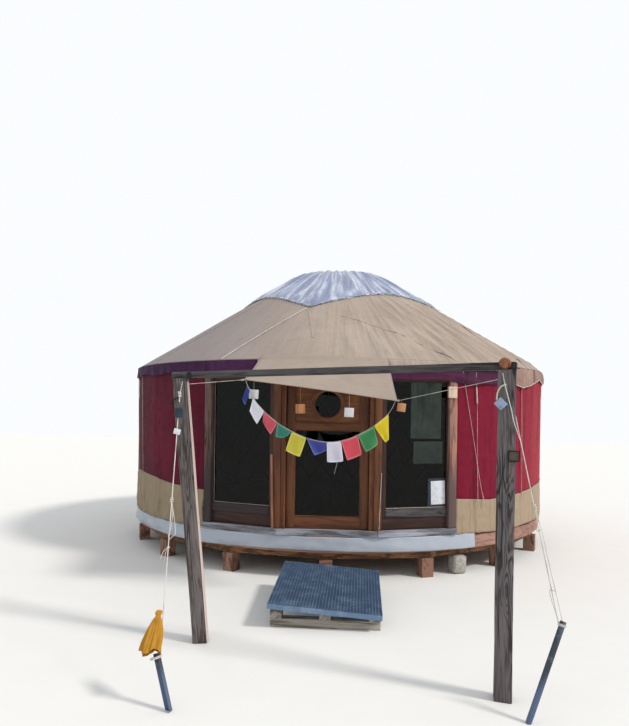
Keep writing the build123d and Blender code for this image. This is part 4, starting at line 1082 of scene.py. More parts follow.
def wall_cloths():
    grid, marks, turn, fade = wall_grid(wall_start, wall_end, tan_top - 0.01, 2.155, wall_radius, 620, 36,
                                        red_shape)
    grid[..., 2] += (band_top(turn) - tan_top) * fade ** 2
    red = Cut().lay(grid, marks).piece("red_cloth", red_cloth, thick=0.002, stands_for=("wall_canvas_red",))
    seams = Cut()
    for turn in (-138.1, -128.5, 210, 182, 160, 130, 100, 70, 42, 14, -12, -38.5):
        height = np.linspace(band_top(turn), 2.15, 40)
        radius = wall_radius * drawn_in(turn, wall_drawn) + red_shape(turn, height) + 0.0005
        path = polar(radius, turn + 0 * height, height)
        strap(seams, path, unit(path * (1, 1, 0)), 0.024, 0.0016)
    stitched = seams.piece("red_cloth_seams", red_cloth)

    def band_shape(turn, height):
        """Stands outside the red cloth, with folds that grow towards its loose lower edge."""
        loose = ease(tan_top - height, 0.0, 0.42)
        left = ease(turn, 200, 210) * ease(tan_top - height, 0.02, 0.2)
        swing = ripple(65, turn / 9, height * 2, 1.0, 2.5)
        slant = rounded(np.radians(turn * 62) - height * 13 + swing, 2)
        soft = 0.006 + 0.005 * loose * (1 + ripple(61, turn / 7, height * 2, 2.0, 6.0))
        small = 0.002 * ripple(62, turn / 3, height * 9, 2, 6)
        return np.maximum(soft + small, 0.0035) + 0.017 * left * slant

    grid, marks, turn, fade = wall_grid(wall_start, wall_end, 0.432, tan_top, wall_radius, 620, 18,
                                        band_shape)
    wave = 0.012 * ripple(63, turn / 10, 0, 1.0, 5.0)
    lower = 0.032 * ease(turn, -64, -60) * (1 - ease(turn, 0, 8))
    top_wave = 0.005 * ripple(64, turn / 25, 0, 1.0, 3.0) + band_top(turn) - tan_top
    grid[..., 2] += (wave + 0.014 - lower) * fade + top_wave * (1 - fade)
    tan = Cut().lay(grid, marks).piece("tan_band", band_cloth, thick=0.002, stands_for=("wall_canvas_tan",))

    def skirt_shape(turn, height):
        """Bellies out at its lower edge and puckers where it is fixed above."""
        loose = ease(0.43 - height, 0.0, 0.16)
        belly = 0.006 * loose * (1 + ripple(71, turn / 12, height * 3, 1.5, 5.0))
        return 0.004 + belly + 0.0015 * ripple(72, turn / 2, height * 20, 1.0, 4.0)

    grid, marks, turn, fade = wall_grid(-342, -55.5, 0.272, 0.428, wall_radius - 0.001, 560, 14, skirt_shape)
    grid[..., 2] += (0.010 * ripple(73, turn / 16, 0, 1.0, 4.0) + 0.008) * fade
    made = Cut().lay(grid, marks).piece("skirt_sheet", skirt, thick=0.002, stands_for=("deck_skirt",))

    def gathers(turn, height):
        """Close pleats that open downwards, with deeper swags on the right of the front."""
        open_way = ease(2.2 - height, 0.0, 0.12)
        pleat = rounded(np.radians(turn * 58) + 2.6 * ripple(81, turn / 5, height * 2, 1.0, 3.0))
        right = ease(turn, -76, -73) * (1 - ease(turn, -56, -48))
        swing = 1.5 * ripple(85, turn / 4, height * 3, 1, 2.5)
        slant = rounded(np.radians(turn * 12) + height * 66 + swing, 2)
        small = 0.002 * ripple(82, turn / 2, height * 10, 1.0, 4.0)
        return 0.004 + open_way * (0.011 * pleat + 0.022 * right * slant) + small

    grid, marks, turn, fade = wall_grid(-76.9, 254.6, 2.085, 2.212, rim_radius + 0.003, 900, 12, gathers)
    deep = np.interp(turn, [-76, -62, -58, -52, -46, -41, 205, 230],
                     [0.084, 0.084, 0.112, 0.11, 0.07, 0, 0, 0.02])
    tucked = 0.04 * ease(turn, -44, -40) * (1 - ease(turn, -7, -2))
    swag = 0.5 + 0.5 * np.cos(np.radians(turn * 14) + ripple(83, turn / 14, 0, 1.0, 3.0))
    drop = 0.014 * ripple(84, turn / 6, 0, 1.0, 5.0) + deep * (0.92 + 0.08 * swag) - tucked
    behind = 0.035 * (1 - ease(turn, -47.5, -45.5))
    grid[..., 2] -= drop * fade + behind * (1 - fade)
    valance = Cut().lay(grid, marks).piece("valance", purple_cloth, thick=0.0018,
                                           stands_for=("eave_valance",))


wall_cloths()


def wall_cords():
    """Thin cords that lie on the wall cloth: each through places given as an angle and a height."""
    lines = [[(-154.9, 2.11), (-154.75, 2.057), (-153.2, 1.5), (-151.0, 0.862), (-150.2, 0.47)],
             [(-149.2, 2.11), (-148.7, 1.996), (-147.4, 1.3), (-146.2, 0.616), (-145.8, 0.46)],
             [(-59.8, 2.13), (-59.57, 2.068), (-57.6, 1.64), (-55.65, 1.209), (-54.0, 0.875), (-53.5, 0.81),
              (-53.6, 0.70)],
             [(-56.1, 2.12), (-55.95, 1.96), (-55.67, 1.79), (-55.41, 1.275), (-55.1, 0.80), (-55.05, 0.678)],
             [(-38.8, 1.985), (-38.5, 1.7), (-38.2, 1.2), (-38.0, 0.6), (-37.9, 0.47)]]
    cut, band = Cut(), Cut()
    for places in lines:
        turn, height = np.array(places).T
        rod(cut, spread(polar(wall_radius + 0.019, turn, height), 0.03), 0.0024, 6)
    turn, height = np.linspace(-55.95, -55.67, 8), np.linspace(1.962, 1.79, 8)
    path = polar(wall_radius + 0.02, turn, height)
    strap(band, path, unit(path * (1, 1, 0)), 0.017, 0.003)
    rope(cut, polar(wall_radius + 0.02, np.array([-53.6, -53.2, -53.45]), np.array([0.83, 0.76, 0.66])),
         0.004)
    cut.piece("wall_cords", grey_rope)
    band.piece("wall_strap", grey_rope)


wall_cords()


def eave_fold():
    """At the far right the canvas is turned out under the eave: it dips to a tie, rises on both sides of it,
    and is edged with cream rope."""
    turn = np.linspace(-45.5, -4, 170)
    down = np.linspace(0, 1, 16)[:, None]
    low = np.interp(turn, [-44.7, -41.9, -38.8, -36.7, -34.1, -29.4, -26.1, -20, -14, -8, -4],
                    [2.055, 2.019, 1.985, 2.006, 2.021, 2.075, 2.105, 2.06, 2.1, 2.07, 2.12])
    height = 2.207 * (1 - down) + low[None] * down
    swing = 2 * ripple(132, turn[None] / 5, down, 1.0, 3.0)
    fold = rounded(np.radians(turn * 130)[None] + 3 * down + swing)
    near_tie = np.exp(-((turn[None] + 38.8) / 2.6) ** 2)
    belly = 0.012 * np.sin(np.pi * down * 0.8)
    reach = rim_radius + 0.006 + belly + (0.006 + 0.012 * near_tie) * fold * down ** 0.6
    grid = polar(reach, turn[None], height)
    # The fold takes the shaded copy of the canvas: painted shade.
    cloth = Cut().lay(grid, arc_marks(turn[None], 2.75, height)).piece("eave_fold", shaded_eave_cloth, thick=0.0022)
    cord = Cut()
    rod(cord, grid[-1] + (0, 0, -0.002), 0.0045, 8)
    edge = cord.piece("eave_fold_rope", white_rope)


eave_fold()


def awning():
    """A cloth sewn to the roof just above the eave: it follows the roof, turns over its edge and runs to its
    front corners, with a sag between that is greatest in the middle."""
    left, right = np.array([-0.69, -2.5, 0.0]), np.array([0.575, -2.5, 0.0])
    share = np.linspace(0, 1, 49)
    front = awning_left + share[:, None] * (awning_right - awning_left)
    back = left + share[:, None] * (right - left)
    turn = np.degrees(np.arctan2(back[:, 1] - 0.12, back[:, 0]))
    upper = []
    for radius in (2.68, 2.695, 2.71, 2.725, seam_end):
        reach = radius + (seam_end - radius) * 0.9 * share ** 2
        upper.append(on_roof(turn, reach, 0.011 * ease(radius, 2.68, 2.735) - 0.003))
    rim = polar(rim_radius + 0.012, turn, 2.208 + 0 * turn)
    fall = np.linspace(0, 1, 34)[1:, None, None]
    lower = rim[None] * (1 - fall) + (front[None] + (0, 0, 0.002)) * fall
    out = fall[..., 0]
    arch, bow = np.sin(np.pi * share), np.sin(np.pi * out)
    sag = 0.028 * bow * (0.55 + 0.45 * arch)
    crease = 0.003 * ripple(91, share * 7, out * 3, 0.8, 2.5) * bow
    lower[..., 2] += crease - sag + 0.006 * arch * out ** 4
    grid = np.concatenate([np.stack(upper), rim[None], lower])
    cloth = Cut().lay(grid).piece("awning_cloth", awning_cloth, thick=0.0026, side=-1.0,
                                  stands_for=("awning",))
    hem = Cut()
    for edge in (grid[:, 0], grid[-1], grid[:, -1]):
        rod(hem, edge + (0, 0, 0.001), 0.004, 8)
    piece = hem.piece("awning_hem", awning_cloth)


awning()


def joinery():
    """The front's fixed timber, board by board, each with its grain along it. Boards that meet keep a gap of
    half a millimetre or one."""
    posts = {"corner": (Cut(), oiled), "left_end": (Cut(), weathered_brown), "right_end": (Cut(), pale_post)}
    places = [(front - door_half, 0.08, "corner"), (front + door_half, 0.08, "corner"),
              (front - window_end + post_shift, end_post_half * 2, "left_end"),
              (front + window_end - post_shift, end_post_half * 2, "right_end")]
    for seed, (turn, wide, kind) in enumerate(places):
        inward = -polar(1.0, turn)
        middle = polar(front_radius, turn) + inward * 0.032
        over = polar(1.0, turn + 90)
        board(posts[kind][0], middle + (0, 0, sole_top + hair), middle + (0, 0, head_bottom - hair), over,
              wide - 0.001, 0.076, seed + 3, edge=0.004)
    for order, (kind, (cut, finish)) in enumerate(posts.items()):
        cut.piece(f"post_{kind}", finish, stands_for=("front_posts",) if order == 0 else ())

    soles, heads = Cut(), Cut()
    lean = np.tan(radians(9.96)) * 0.92
    for seed, (side, left, right) in enumerate(((left_side, 0, 1), (door_side, 1, 1), (right_side, 1, 0))):
        half = side.half - 0.001
        for cut, y0, y1, z0, z1 in ((soles, -0.025, 0.089, deck_top + hair, sole_top - hair),
                                    (heads, 0.001, 0.069, head_bottom + hair, seat_height - 0.001)):
            trim = (y0 + y1) / 2 * lean
            side.level(cut, -half + trim * left, half - trim * right, y0, y1, z0, z1, seed + 31, edge=0.004,
                       mitre=(-lean * left, lean * right))
    soles.piece("sole_boards", sole_wood, stands_for=("sole_plates",))
    heads.piece("head_boards", oiled_dark, stands_for=("head_plates",))

    panes, fillets = Cut(), Cut()
    for seed, (name, side) in enumerate(window_sides.items()):
        (x0, y0, z0), (x1, y1, z1) = side.reach(f"window_frame_{name}")
        cut, rail = Cut(), Cut()
        left, right = x0 + 0.0453, x1 - 0.0453
        bottom, top = z0 + 0.085, z1 - 0.075
        for number, (a, b) in enumerate(((x0, left), (right, x1))):
            side.upright(cut, a + 0.001, b, y0, y1 - 0.001, z0 + hair, z1 - hair, seed * 7 + number + 50)
        side.level(cut, left, right, y0 + 0.001, y1 - 0.002, top, z1 - hair, seed * 7 + 53)
        side.bead(cut, left, right, bottom, top, y0 + 0.012, 0.009, seed + 3.0)
        side.level(rail, left, right, y0 - 0.004, y1 - 0.002, z0 + hair, bottom, seed * 7 + 54, edge=0.005)
        side.level(panes, left - 0.011, right + 0.011, 0.0325, 0.0375, bottom - 0.011, top + 0.011, seed,
                   edge=0.0008, wobble=0.0, pitch=0.4)
        side.level(fillets, left + 0.001, right - 0.001, 0.024, 0.0325, bottom + hair, bottom + 0.0125,
                   seed + 17, edge=0.003)
        if name == "left":
            side.upright(fillets, left + hair, left + 0.0095, 0.025, 0.0325, bottom + 0.013, top - 0.001,
                         seed + 19, edge=0.002)
        cut.piece(f"window_frame_{name}_boards", oiled_dark, stands_for=(f"window_frame_{name}",))
        rail.piece(f"window_rail_{name}", weathered_brown if name == "left" else beam_wood)
    panes.piece("window_panes", glass, smooth=False, stands_for=("window_glass",))
    fillets.piece("glazing_putty", putty)

    panels = Cut()
    for seed, (name, side) in enumerate(window_sides.items()):
        low, high = side.reach(f"window_frame_{name}")
        side.level(panels, low[0] + 0.002, high[0] - 0.002, 0.022, 0.042, sole_top + 0.001, low[2] - 0.001,
                   seed + 61, edge=0.002)
    panels.piece("lower_panels", oiled_dark, stands_for=("window_panels",))

    jamb_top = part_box("door_jambs")[0][2] + 1.546
    leaf_low, leaf_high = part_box("door_leaf")
    jambs = Cut()
    for seed, (inner, way) in enumerate(((leaf_low[0] - 0.005, -1), (leaf_high[0] + 0.005, 1))):
        a, b = sorted((inner + way * hair, inner + way * (0.05 - hair)))
        door_side.upright(jambs, a, b, 0.0, frame_depth - 0.001, sole_top + hair, jamb_top, seed + 71,
                          edge=0.003)
        a, b = sorted((inner + way * 0.002, inner + way * 0.018))
        door_side.upright(jambs, a, b, -0.007, 0.004, sole_top + 0.001, jamb_top - 0.001, seed + 74,
                          edge=0.003)
    jambs.piece("jamb_boards", oiled, stands_for=("door_jambs",))
    (x0, _, z0), (x1, _, z1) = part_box("door_head")
    head = door_side.level(Cut(), x0 + hair, x1 - hair, 0.0, frame_depth - 0.001, z0 + hair,
                           z1 - hair, 77)
    head.piece("head_board", oiled, stands_for=("door_head",))


joinery()


def door():
    """The leaf: two stiles and three rails round a boarded panel and a pane, with beads, a porthole and a
    lever."""
    (x0, y0, z0), (x1, y1, z1) = np.array(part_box("door_leaf")) - (0, door_side.origin[1], 0)
    in0, in1 = x0 + 0.08, x1 - 0.08
    upper_top, upper_bottom = z1 - 0.09, z1 - 0.47
    lower_top, lower_bottom = upper_bottom - 0.07, z0 + 0.12
    leaf = Cut()
    for seed, (a, b) in enumerate(((x0, in0), (in1, x1))):
        door_side.upright(leaf, a, b, y0, y1, z0, z1, seed + 81, edge=0.003)
    for seed, (a, b) in enumerate(((z0, lower_bottom), (lower_top, upper_bottom), (upper_top, z1))):
        door_side.level(leaf, in0, in1, y0 + hair, y1 - hair, a, b, seed + 84, edge=0.002)
    door_side.bead(leaf, in0, in1, lower_bottom, lower_top, y0 + 0.014, 0.011, 2.0)
    door_side.bead(leaf, in0, in1, upper_bottom, upper_top, y0 + 0.010, 0.012, 4.0)
    leaf.piece("door_boards", oiled, "door", stands_for=("door_leaf",))

    eye = ((in0 + in1) / 2, (upper_top + upper_bottom) / 2)
    middle = (y0 + y1) / 2
    turn = circle(96)
    wide, tall = (in1 - in0) / 2, (upper_top - upper_bottom) / 2
    across, rise = abs(np.cos(turn)), abs(np.sin(turn))
    scale = np.minimum(wide / np.maximum(across, 1e-6), tall / np.maximum(rise, 1e-6))
    share = np.array([0, 0, 0.3, 0.65, 1, 1, 0.65, 0.3, 0])[:, None]
    depth = np.array([0.009, -0.009, -0.009, -0.009, -0.009, 0.009, 0.009, 0.009, 0.009])[:, None]
    far = 0.14 * (1 - share) + scale[None] * share
    grid = door_side.at(eye[0] + far * np.cos(turn), middle + depth, eye[1] + far * np.sin(turn))
    flat = np.stack([far * np.cos(turn) + 3, far * np.sin(turn)], axis=-1)
    panel = Cut().lay(grid[::-1], joined(flat, 0)[::-1], closed=True)
    panel.piece("door_panel_boards", panel_wood, "door", stands_for=("door_panel",), smooth=False)

    across = np.array([0.129, 0.131, 0.138, 0.148, 0.16, 0.17, 0.177, 0.18, 0.18, 0.129])
    out = np.array([0.0, 0.008, 0.013, 0.0115, 0.0145, 0.0115, 0.011, 0.006, 0.0, 0.0])
    turn = np.linspace(0, 2 * np.pi, 97)[:, None]
    grid = door_side.at(eye[0] + across * np.cos(turn), middle - 0.009 - out, eye[1] + across * np.sin(turn))
    ring = Cut().lay(grid[::-1], shift=(1.3, 2.0))
    ring.piece("porthole_boards", oiled, "door", stands_for=("porthole_ring",))

    def by_handle(x, out, z):
        """A place from the handle's middle on the leaf's face: along the leaf, out from it, and up."""
        return door_side.at(x0 + 0.04 + x, y0 - out, deck_top + 1.03 + z)

    fittings = Cut()
    board(fittings, by_handle(0, 0.0022, -0.072), by_handle(0, 0.0022, 0.048), door_side.over, 0.034, 0.0042,
          1, edge=0.0018, **hard)
    rod(fittings, straight(by_handle(0, 0, 0), by_handle(0, 0.034, 0), 0.006), 0.0085, 16)
    lever = spread([by_handle(0, 0.034, 0), by_handle(0.012, 0.041, 0), by_handle(0.05, 0.0425, 0.003),
                    by_handle(0.098, 0.040, -0.002)], 0.005)
    share = np.linspace(0, 1, len(lever))
    rod(fittings, lever, np.interp(share, [0, 0.3, 0.9, 1], [0.0085, 0.0075, 0.0065, 0.004]), 14)
    fittings.piece("door_lever", iron, "door", stands_for=("door_handle",))


door()


def porch():
    """Two posts, each cut level at both ends, and the beam on them, with its irons and the round end of a
    log. A post is given by its foot, its top's drift, the angle it drifts along and its height."""
    places = {"left": (np.array([-0.81, -4.52, 0.0]), -0.174, 6.5, 1.91),
              "right": (np.array([1.184, -5.247, 0.0]), 0.0, -12.4, 1.944)}
    tops = {}
    for name, (foot, drift, turn, height) in places.items():
        tops[name] = foot + drift * polar(1.0, turn) + (0, 0, height)
    run = unit(tops["right"] - tops["left"])
    reach = np.linalg.norm(tops["right"] - tops["left"])
    side = unit(np.cross(up, run))
    up_beam = np.cross(run, side)
    for seed, (name, (foot, drift, turn, height)) in enumerate(places.items()):
        over = polar(1.0, turn)
        lean = drift / height
        post = Cut()
        board(post, foot + (0, 0, 0.0002), tops[name] + (lean * over + up) * 0.03, over, 0.1045, 0.1045,
              seed + 5, edge=0.006, wobble=0.0022, pitch=0.05)
        points = post.points[-1]
        points[:, 2] = np.maximum(points[:, 2], 0.0)
        high = (points - tops[name]) @ up_beam
        points -= np.maximum(high + 0.0006, 0)[:, None] / up_beam[2] * up
        # The left post takes the finish with painted sunlight on its +X face.
        post.piece(f"porch_post_{name}_timber", half_sunlit if name == "left" else weathered,
                   stands_for=(f"porch_post_{name}",))

    def on_beam(x, over, rise):
        """A place from the middle between the posts' tops: along the beam, over and up."""
        return (tops["left"] + tops["right"]) / 2 + run * x + side * over + up_beam * rise

    half = reach / 2 + 0.0525
    beam = board(Cut(), on_beam(-half, 0, 0.0226), on_beam(half, 0, 0.0226), up_beam, 0.0445, 0.0695, 9,
                 edge=0.004, wobble=0.0012)
    beam.piece("beam_timber", beam_wood, stands_for=("porch_beam",))

    steps = np.array([0.0, 0.002, 0.02, 0.04, 0.054, 0.0585, 0.06])
    size = np.array([0.0325, 0.033, 0.0328, 0.033, 0.0325, 0.0305, 0.027])
    log = rod(Cut(), on_beam(reach / 2 - 0.005, -0.035, 0.034) - side * steps[:, None], size, 28)
    log.piece("log_end", log_wood, stands_for=("beam_log_end",))

    irons = Cut()
    x = -reach / 2 + 0.096
    path = [on_beam(x, over, rise) for over, rise in
            ((0.0375, 0.041), (0.0375, -0.0022), (-0.0375, -0.0022), (-0.0375, 0.041))]
    for a, b, way in zip(path, path[1:], (side, up_beam, side)):
        board(irons, a, b, way, 0.0036, 0.036, 3, edge=0.0012, **hard)
    for sign in (-1, 1):
        head = on_beam(x, sign * 0.0395, 0.022)
        rod(irons, straight(head, head + side * sign * 0.004, 0.002), 0.006, 6)
    x = half + 0.0025
    board(irons, on_beam(x, 0, 0.001), on_beam(x, 0, 0.041), run, 0.004, 0.068, 4, edge=0.0012, **hard)
    irons.piece("beam_irons", iron, stands_for=("beam_brackets",))
    return places


porch_places = porch()


def post_point(name, drop, over=0.0, out=0.0):
    """A place on a porch post at a distance below its top: over along its face, out from its middle."""
    foot, drift, turn, height = porch_places[name]
    middle = foot + drift * (1 - drop / height) * polar(1.0, turn) + (0, 0, height - drop)
    return middle + over * polar(1.0, turn) + out * polar(1.0, turn - 90)


def post_points(name, *places):
    """Places on a porch post, each given as drop, over and out."""
    return [post_point(name, *place) for place in places]


def ties():
    """Ropes from the awning's front corners to the posts, each knotted at the corner and to an eye in the
    post."""
    cut, eyes = Cut(), Cut()
    for name, corner in (("left", awning_left), ("right", awning_right)):
        middle = corner + (0, 0, 0.0015)
        hook = post_point(name, 0.045)
        run = unit(hook - middle)
        reach = np.linalg.norm(hook - middle)
        stop = middle + run * (reach - 0.064)
        rope(cut, straight(middle, stop, 0.0035), 0.005, smooth=False)
        hitch(cut, middle + run * 0.02, run, 0.0065, 0.0045, 2.5)
        hitch(cut, middle + run * 0.045, run, 0.006, 0.0045, 2.0)
        hitch(cut, stop, run, 0.0075, 0.0045, 3.0)
        rod(eyes, straight(stop + run * 0.002, stop + run * 0.03, 0.004), 0.003, 8)
        rod(eyes, stop + 0.0075 * turned(np.linspace(0, 2 * np.pi, 29)[:, None], run, up), 0.002, 6)
    cut.piece("awning_tie_ropes", grey_rope, stands_for=("awning_ties",))
    eyes.piece("tie_eyes", iron)


ties()


def cards():
    """Tags, a case and a hook on the porch posts, and a bare notice in a dark surround on the right window. A
    card is given as post, places over the face, heights, thickness and finish."""
    cards = [("left", -0.016, 0.006, 1.775, 1.814, 0.002, white_card),
             ("right", 0.012, 0.077, 1.41, 1.468, 0.008, brown_card)]
    for order, (post, x0, x1, z0, z1, deep, finish) in enumerate(cards):
        height = porch_places[post][3]
        ends = [post_point(post, height - z, (x0 + x1) / 2, 0.0535 + deep / 2) for z in (z0, z1)]
        cut = board(Cut(), *ends, polar(1.0, porch_places[post][2]), x1 - x0, deep, order, edge=deep * 0.3,
                    wobble=0.0, pitch=0.05)
        cut.piece(f"{finish.material.name}_{order}", finish)
    rim = Cut()
    corners = post_points("right", (0.535, 0.014, 0.063), (0.535, 0.075, 0.063), (0.475, 0.075, 0.063),
                          (0.475, 0.014, 0.063), (0.535, 0.014, 0.063))
    for start, end in zip(corners, corners[1:]):
        board(rim, start, end, polar(1.0, porch_places["right"][2] - 90), 0.004, 0.006, 3, edge=0.001,
              wobble=0.0)
    rim.piece("brown_card_rim", iron)
    case = Cut()
    hangs = np.array([-0.944, -4.698, 1.663])
    board(case, hangs - up * 0.035, hangs + up * 0.035, polar(1.0, porch_places["left"][2]), 0.058, 0.026, 5,
          edge=0.007, **hard)
    for step in (-0.022, 0.022):
        board(case, hangs + (-0.024, -0.0135, step), hangs + (0.026, -0.0115, step), up, 0.005, 0.004, 6,
              edge=0.001, **hard)
    case.piece("hung_case", dark_case)
    loop = hangs + np.array([[0, 0, 0.033], [-0.002, 0.016, 0.062], [-0.016, 0.05, 0.072],
                             [-0.012, 0.036, 0.03], [0.0, 0.008, 0.034]])
    rod(Cut(), spread(loop, 0.006), 0.0017, 6).piece("case_loop", iron)
    tag = board(Cut(), (-0.942, -4.764, 1.513), (-0.932, -4.764, 1.55), unit([0.97, 0.11, -0.24]), 0.046,
                0.0018, 8, edge=0.0008, **hard)
    tag.piece("rope_tag", white_card)
    a, b, c, d = post_points("right", (0.198, -0.073, 0.066), (0.162, -0.034, 0.066), (0.203, 0.007, 0.066),
                             (0.241, -0.033, 0.066))
    hung = board(Cut(), (a + b) / 2, (c + d) / 2, a - b, 0.054, 0.003, 7, edge=0.001, wobble=0.0, pitch=0.03)
    hung.piece("hung_card", blue_card)
    bend = post_points("right", (0.091, -0.0125, 0.06), (0.104, -0.0356, 0.066), (0.138, -0.052, 0.068),
                       (0.178, -0.056, 0.0665))
    rod(Cut(), spread(bend, 0.008), 0.0045, 8).piece("card_strap", grey_rope)
    bend = post_points("left", (0.144, -0.024, 0.05), (0.146, -0.03, 0.085), (0.165, -0.052, 0.09),
                       (0.19, -0.062, 0.075), (0.178, -0.076, 0.07))
    rod(Cut(), spread(bend, 0.006), 0.0045, 8).piece("post_hook", iron)

    surround = right_side.upright(Cut(), 0.125, 0.343, 0.0285, 0.0315, 0.722, 1.010, 1, edge=0.0008,
                                  wobble=0.0)
    surround.piece("notice_surround", dark_case)
    sheet = board(Cut(), right_side.at(0.243, 0.0275, 0.742), right_side.at(0.236, 0.0275, 0.985),
                  right_side.over, 0.158, 0.0014, 2, edge=0.0005, wobble=0.0)
    sheet.piece("bare_notice", white_card)
    curtain = Cut()
    right_side.upright(curtain, -0.05, 0.295, 0.085, 0.088, 1.42, 2.03, 3, edge=0.001, wobble=0.0)
    right_side.upright(curtain, -0.015, 0.315, 0.085, 0.088, 1.16, 1.39, 4, edge=0.001, wobble=0.0)
    curtain.piece("inner_curtain", curtain_cloth)


cards()


def guys_and_stakes():
    """Each guy is a laid rope from a turn round its stake to its post, with a bight and tails at its slide
    knot. The left stake is an angle iron and the right one a tube."""
    stakes, ropes = Cut(), Cut()
    left_foot, left_top = np.array([-0.721, -5.6, 0.0]), np.array([-0.813, -5.55, 0.3])
    right_foot, right_top = np.array([1.26, -5.53, 0.0]), np.array([1.46, -5.462, 0.54])
    over, down = square_to(unit(left_top - left_foot))
    leg = np.array([[-20, -20], [20, -20], [20, -16.5], [-16, -16], [-16.5, 20], [-20, 20]]) / 1000
    steps = np.linspace(0, 1, 12)[:, None, None]
    grid = left_foot + steps * (left_top - left_foot) + leg[None, :, :1] * over + leg[None, :, 1:] * down
    grid[..., 2] = np.maximum(grid[..., 2], 0)
    stakes.lay(grid, closed=True, ended=True)
    over, down = square_to(unit(right_top - right_foot))
    share = np.concatenate([np.linspace(0, 1, 14), [1.0, 0.96, 0.2, 0.0]])
    size = np.concatenate([np.full(14, 0.017), [0.0142, 0.014, 0.014, 0.014]])
    ring = size[:, None, None] * turned(circle(24)[None, :, None], over, down)
    grid = right_foot + share[:, None, None] * (right_top - right_foot) + ring
    grid[..., 2] = np.maximum(grid[..., 2], 0)
    stakes.lay(grid, closed=True)
    stakes.piece("stake_bars", stake_metal, stands_for=("ground_stakes",))

    for name, foot, top, half in (("left", left_foot, left_top, 0.0285),
                                  ("right", right_foot, right_top, 0.0175)):
        axis = unit(top - foot)
        middle = top - axis * 0.02
        end = post_point(name, 0.03)
        reach = end - middle
        outward = unit(reach - axis * np.dot(reach, axis))
        leave = middle + outward * (half + 0.0035)
        run = unit(end - leave)
        length = np.linalg.norm(end - leave)
        rope(ropes, straight(leave, end - run * 0.06, 0.005), 0.007, smooth=False)
        t = np.linspace(0, 4 * np.pi, 120)[:, None]
        climb = axis * (t / (4 * np.pi) - 0.5) * 0.014
        path = middle + (half + 0.004) * turned(t, outward, np.cross(axis, outward)) + climb
        rope(ropes, path, 0.0065, smooth=False)
        slack = square_to(run)[0]
        if name == "left":
            upper = post_points(name, (0.024, 0.0215, 0.059), (0.066, 0.012, 0.059), (0.112, -0.003, 0.059))
            rope(ropes, upper + [end - run * 0.13], 0.006)
            hitch(ropes, upper[-1], (0.2, 0, -1), 0.009, 0.0055, 2.5)
            knot = leave + run * length * 0.51
            hitch(ropes, knot, run, 0.009, 0.006, 3.0, 0.02)
            bight = [(0, 0), (0.008, 0.06), (0.02, 0.14), (0.026, 0.215), (0.014, 0.232), (-0.012, 0.252),
                     (-0.02, 0.225), (-0.006, 0.19), (0.006, 0.1), (0.002, 0.02)]
            rope(ropes, [knot - slack * across - up * drop for across, drop in bight], 0.005)
            low = leave + run * length * 0.34
            hitch(ropes, low, run, 0.008, 0.0055, 2.0)
            for across, drop in ((0.052, 0.075), (0.024, 0.085)):
                tail = [low, low + slack * across * 0.6 - up * drop * 0.3, low + slack * across - up * drop]
                rope(ropes, tail, 0.005)
        else:
            knot = leave + run * length * 0.45
            hitch(ropes, knot, run, 0.010, 0.006, 3.0, 0.02)
            bead = leave + run * length * 0.36
            hitch(ropes, bead, run, 0.013, 0.006, 1.5)
            low = leave + run * length * 0.12
            bow = [knot, bead - slack * 0.014, (bead + low) / 2 - slack * 0.016, low - slack * 0.02]
            rope(ropes, bow, 0.005)
            rope(ropes, [low - slack * 0.02, low + slack * 0.012, middle + outward * half], 0.005)
            rope(ropes, [low - slack * 0.02, middle - outward * half * 0.2 + axis * 0.004], 0.005)
            face = post_points(name, (0.021, -0.0245, 0.059), (0.091, -0.0107, 0.059), (0.173, 0.0105, 0.059),
                               (0.236, 0.027, 0.059), (0.306, 0.042, 0.059))
            rope(ropes, face + [end - run * 0.4], 0.006)
            hitch(ropes, face[1], (0.2, 0, -1), 0.007, 0.005, 2.0)
    ropes.piece("guy_rope_strands", white_rope, stands_for=("guy_ropes",))


guys_and_stakes()


def tied_cloth():
    """Cloth knotted round the left guy: a closed tube whose folds are many-lobed and open downwards."""
    axis_low, axis_high = np.array([-0.813, -5.55, 0.3]), post_point("left", 0.03)
    run = unit(axis_high - axis_low)
    low = axis_low + run * 0.01
    over, down = square_to(run)
    share = np.linspace(0, 1, 34)[:, None]
    turn = circle(96)[None]
    body = np.interp(share, [0, 0.25, 0.55, 0.78, 0.86, 0.94, 1.0],
                     [0.058, 0.054, 0.044, 0.026, 0.013, 0.022, 0.014])
    fold = 1 + 0.17 * np.sin(7 * turn + 2.5 * share) * (1 - share) + 0.10 * np.sin(15 * turn - 4 * share)
    x = body * fold * np.cos(turn) * 0.98
    y = body * fold * np.sin(turn) * 0.6
    hang = 0.014 * np.sin(3 * turn + 1) * (1 - share) ** 2
    x = x - 0.032 * (1 - share) * np.sign(over[0])
    grid = low + (share * 0.235 + hang)[..., None] * run + x[..., None] * over + y[..., None] * down
    cloth = Cut().lay(grid, closed=True).piece("tied_cloth", orange_cloth, thick=0.0015, side=-1.0, levels=1,
                                               stands_for=("guy_cloth",))


tied_cloth()


